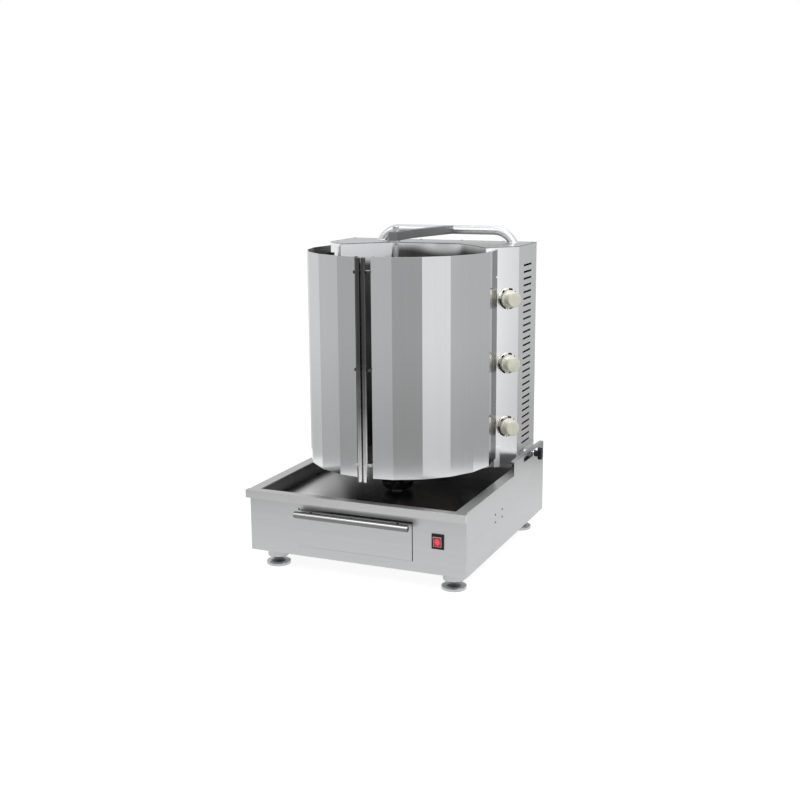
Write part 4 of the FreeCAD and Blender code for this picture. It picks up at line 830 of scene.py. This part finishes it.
# %% Collars
COLLAR_RING = ((7.1, 0.0), (8.8, 0.0), (9.2, 0.4), (9.2, 2.6), (8.8, 3.0), (7.1, 3.0), (7.1, 0.0))

for side, name in ((1, "right"), (-1, "left")):
    low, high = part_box("clamp_knob_" + name)
    face = low.x if side > 0 else high.x
    stand = facing((face, (low.y + high.y) / 2, (low.z + high.z) / 2), (side, 0, 0))
    piece("clamp_collar_" + name, lathe(bmesh.new(), COLLAR_RING), "clamp_" + name,
          "polished_steel", [stand])

# %% Knurl
RIDGES, RIDGE_SIZE = 28, (0.9 * MM, 0.7 * MM, 5.6 * MM)
RIDGE_DROP, RIDGE_SUNK = 4.0 * MM, 0.25 * MM

pin_low, pin_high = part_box("centring_pin")
pin_centre = (pin_low + pin_high) / 2
pin_radius = (pin_high.x - pin_low.x) / 2
ridge = bmesh.new()
ridge_block = bmesh.ops.create_cube(ridge, size=1.0)["verts"]
bmesh.ops.scale(ridge, vec=RIDGE_SIZE, verts=ridge_block)
bmesh.ops.rotate(ridge, matrix=Matrix.Rotation(math.radians(45), 3, "Z"), verts=ridge_block)
piece("pin_knurl", ridge, "centring_pin", "polished_steel",
      [Matrix.Translation((pin_centre.x, pin_centre.y, pin_high.z - RIDGE_DROP))
       @ Matrix.Rotation(2 * math.pi * step / RIDGES, 4, "Z")
       @ Matrix.Translation((pin_radius - RIDGE_SUNK, 0, 0)) for step in range(RIDGES)])

# %% Weld beads
BEAD = ((9.6, -0.1), (12.0, -0.1), (11.6, 0.9), (10.8, 1.5), (9.6, 1.9), (9.6, -0.1))
TUBE_LEAN = 75
FOOT_REACH = 10.4 * MM

tube_low, tube_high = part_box("arch_tube")
slant = Matrix.Diagonal((1 / math.sin(math.radians(TUBE_LEAN)), 1, 1, 1))
piece("arch_welds", lathe(bmesh.new(), BEAD), "tower", "satin_tube",
      [Matrix.Translation((x, (tube_low.y + tube_high.y) / 2, lid_z)) @ slant
       for x in (tube_low.x + FOOT_REACH, tube_high.x - FOOT_REACH)])

# %% [markdown]
# ## Plates behind the upper hinges
#
# The panel is thin, so a small plate backs it up where the upper hinge pulls on it. Its upper end
# shows above the door. It lies flat on the panel's front edge and is held by two rivets.

# %% Hinge plates
PANEL_NOSE = Vector((0.1720, 0.0555, 0.0))
PANEL_ALONG = Vector((0.651, 0.759, 0.0))
PLATE_WIDTH, PLATE_HEIGHT, PLATE_THICK = 17.0, 32.0, 1.2
PLATE_INSET, PLATE_EDGE = 1, 0.4
PLATE_MIDDLE = 0.645

plate = bmesh.new()
slab = bmesh.ops.create_cube(plate, size=1.0)["verts"]
bmesh.ops.scale(plate, vec=(PLATE_WIDTH * MM, PLATE_HEIGHT * MM, PLATE_THICK * MM), verts=slab)
bmesh.ops.translate(plate, vec=(0, 0, PLATE_THICK / 2 * MM), verts=slab)
bmesh.ops.bevel(plate, geom=plate.edges[:], offset=PLATE_EDGE * MM, segments=2, profile=0.5,
                affect="EDGES", material=-1)
for rise in (-1, 1):
    head = rivet_head(2.0, 0.8)
    bmesh.ops.translate(head, vec=(0, rise * PLATE_HEIGHT * MM / 3, PLATE_THICK * MM),
                        verts=head.verts)
    add_in(plate, head)

middle = PANEL_NOSE + PANEL_ALONG * (PLATE_WIDTH / 2 + PLATE_INSET) * MM
piece("hinge_plates", plate, "tower", "bracket_steel",
      [facing((side * middle.x, middle.y, PLATE_MIDDLE), (side * PANEL_ALONG.y, -PANEL_ALONG.x, 0))
       for side in (1, -1)])

# %% [markdown]
# ## The studio
#
# The photograph is taken on white. The world and the floor are white to the camera and to
# everything that mirrors them, while the light that falls on the grill stays soft and plain.

# %% World
SOFT_LIGHT = 0.62


def white_to_the_eye(any_wire):
    """1 for rays from the camera, a mirror or glass, and 0 for the light on things."""
    kinds = [any_wire.node("ShaderNodeLightPath", None, None, output) for output in (0, 3, 6)]
    return kinds[0].maths("MINIMUM", kinds[0] + kinds[1] + kinds[2], 1.0)


world = bpy.data.worlds.new("studio")
bpy.context.scene.world = world
world.use_nodes = True
sky = world.node_tree
air = Wire(sky, sky.nodes.new("ShaderNodeTexCoord").outputs["Generated"])
strength = white_to_the_eye(air) * (1 - SOFT_LIGHT) + SOFT_LIGHT
sky.links.new(strength.socket, sky.nodes["Background"].inputs["Strength"])
sky.nodes["Background"].inputs["Color"].default_value = (1, 1, 1, 1)
print("the world lights the grill at:", SOFT_LIGHT)

# %% Floor
FLOOR_RADIUS = 40.0
FLOOR_PAINT = 0.30
FLOOR_GLOW = 0.84

floor_shape = bmesh.new()
bmesh.ops.create_circle(floor_shape, cap_ends=True, segments=64, radius=FLOOR_RADIUS)
floor_mesh = bpy.data.meshes.new("studio_floor")
floor_shape.to_mesh(floor_mesh)
floor_shape.free()
floor = bpy.data.objects.new("studio_floor", floor_mesh)
bpy.context.scene.collection.objects.link(floor)

floor_material, paint, floor_place = new_finish("floor paint", Roughness=0.9,
                                                Specular_IOR_Level=0.0)
paint.inputs["Base Color"].default_value = grey(FLOOR_PAINT)
paint.inputs["Emission Color"].default_value = (1, 1, 1, 1)
feed(floor_material, paint, {"Emission Strength": white_to_the_eye(floor_place) * FLOOR_GLOW})
floor_mesh.materials.append(floor_material)
print("floor paint:", FLOOR_PAINT)

# %% [markdown]
# ## A ring of grey paper for the steel
#
# Polished steel has no tone of its own: it shows what stands round it. A studio puts grey cards
# there, called flags, and each flat of the doors picks up another one. Here one ring of paper
# stands round the grill. A list gives its brightness by direction, in degrees from the front
# towards the right, and it is a little darker near the floor. Only mirrors see it, so it casts no
# shadow and hides nothing.

# %% Paper ring
RING_RADIUS, RING_FOOT, RING_HEIGHT = 0.95, 0.002, 0.80
RING_PAPER = ((-180, 0.66), (-150, 0.80), (-112, 0.84), (-84, 0.80), (-74, 0.70), (-56, 0.66),
              (-46, 0.54), (-22, 0.52), (-12, 0.62), (8, 0.62), (17, 0.46), (40, 0.46),
              (47, 1.0), (85.5, 1.0), (88, 0.62), (104, 0.58), (112, 0.64), (132, 0.58),
              (140, 0.50), (160, 0.46), (180, 0.62))
RING_FOOT_SHARE, RING_FOOT_FADE = 0.79, (0.02, 0.42)

ring = bmesh.new()
post = [ring.verts.new((RING_RADIUS, 0, height)) for height in (RING_FOOT, RING_HEIGHT)]
post_edge = ring.edges.new(post)
bmesh.ops.spin(ring, geom=post + [post_edge], cent=(0, 0, 0), axis=(0, 0, 1), angle=2 * math.pi,
               steps=96, use_merge=True)
ring_mesh = bpy.data.meshes.new("paper_ring")
ring.to_mesh(ring_mesh)
ring.free()
paper_ring = bpy.data.objects.new("paper_ring", ring_mesh)
bpy.context.scene.collection.objects.link(paper_ring)
for sees in ("visible_camera", "visible_diffuse", "visible_shadow", "visible_transmission"):
    setattr(paper_ring, sees, False)
print("ring faces:", len(ring_mesh.polygons))

# %% Tones of the paper
paper_material, paper_shader, paper_place = new_finish("ring paper", Specular_IOR_Level=0.0)
paper_shader.inputs["Base Color"].default_value = grey(0.0)
paper_shader.inputs["Emission Color"].default_value = (1, 1, 1, 1)
side_way, front_way, height = [paper_place.along(axis) for axis in (0, 1, 2)]
azimuth = side_way.maths("ARCTAN2", side_way, front_way * -1) * (180 / math.pi)
stops = [((angle + 180) / 360, grey(level)) for angle, level in RING_PAPER]
paper = azimuth.node("ShaderNodeValToRGB", {"stops": stops}, {"Fac": (azimuth + 180) / 360})
paper = paper * (height.smooth(*RING_FOOT_FADE) * (1 - RING_FOOT_SHARE) + RING_FOOT_SHARE)
feed(paper_material, paper_shader, {"Emission Strength": paper})
ring_mesh.materials.append(paper_material)
print("ring stops:", len(stops))

# %% [markdown]
# ## Lamps and camera
#
# Three large soft boxes light the grill: a strong one from the right gives the forms a light side
# and a shade side, a weaker one from the left opens the shade, and one above lights the lid. The
# camera stands a little above the grill and to its right, level enough that the upright edges stay
# upright.

# %% Lamps
AIM = Vector((0, 0, 0.33))


def soft_box(name, place, width, power):
    """A square lamp that looks at the middle of the grill."""
    light = bpy.data.lights.new(name, "AREA")
    light.size = width
    light.energy = power
    lamp = bpy.data.objects.new(name, light)
    bpy.context.scene.collection.objects.link(lamp)
    lamp.location = place
    lamp.rotation_mode = "QUATERNION"
    lamp.rotation_quaternion = (AIM - lamp.location).to_track_quat("-Z", "Y")
    print(name, "width:", width, "power:", power)


soft_box("key_box", Vector((1.75, -1.7, 2.6)), 1.2, 50)
soft_box("fill_box", Vector((-1.5, -2.2, 2.2)), 1.8, 20)
soft_box("top_box", Vector((0.2, 0.6, 3.0)), 1.6, 14)

# %% Camera
CAMERA_PLACE = Vector((1.0197, -2.3536, 0.8652))
CAMERA_YAW, CAMERA_PITCH, CAMERA_ROLL = 23.503, -11.722, -0.407
CAMERA_LENS = 54.045
camera = bpy.data.cameras.new("photo_camera")
camera.lens = CAMERA_LENS
eye_point = bpy.data.objects.new("photo_camera", camera)
bpy.context.scene.collection.objects.link(eye_point)
turn = (Matrix.Rotation(math.radians(CAMERA_YAW), 4, "Z")
        @ Matrix.Rotation(math.radians(90 + CAMERA_PITCH), 4, "X")
        @ Matrix.Rotation(math.radians(CAMERA_ROLL), 4, "Z"))
eye_point.rotation_mode = "QUATERNION"
eye_point.location = CAMERA_PLACE
eye_point.rotation_quaternion = turn.to_quaternion()
bpy.context.scene.camera = eye_point
bpy.context.scene.view_settings.view_transform = "Standard"
print("camera lens:", CAMERA_LENS, "mm, distance:", round(CAMERA_PLACE.length, 3), "m")
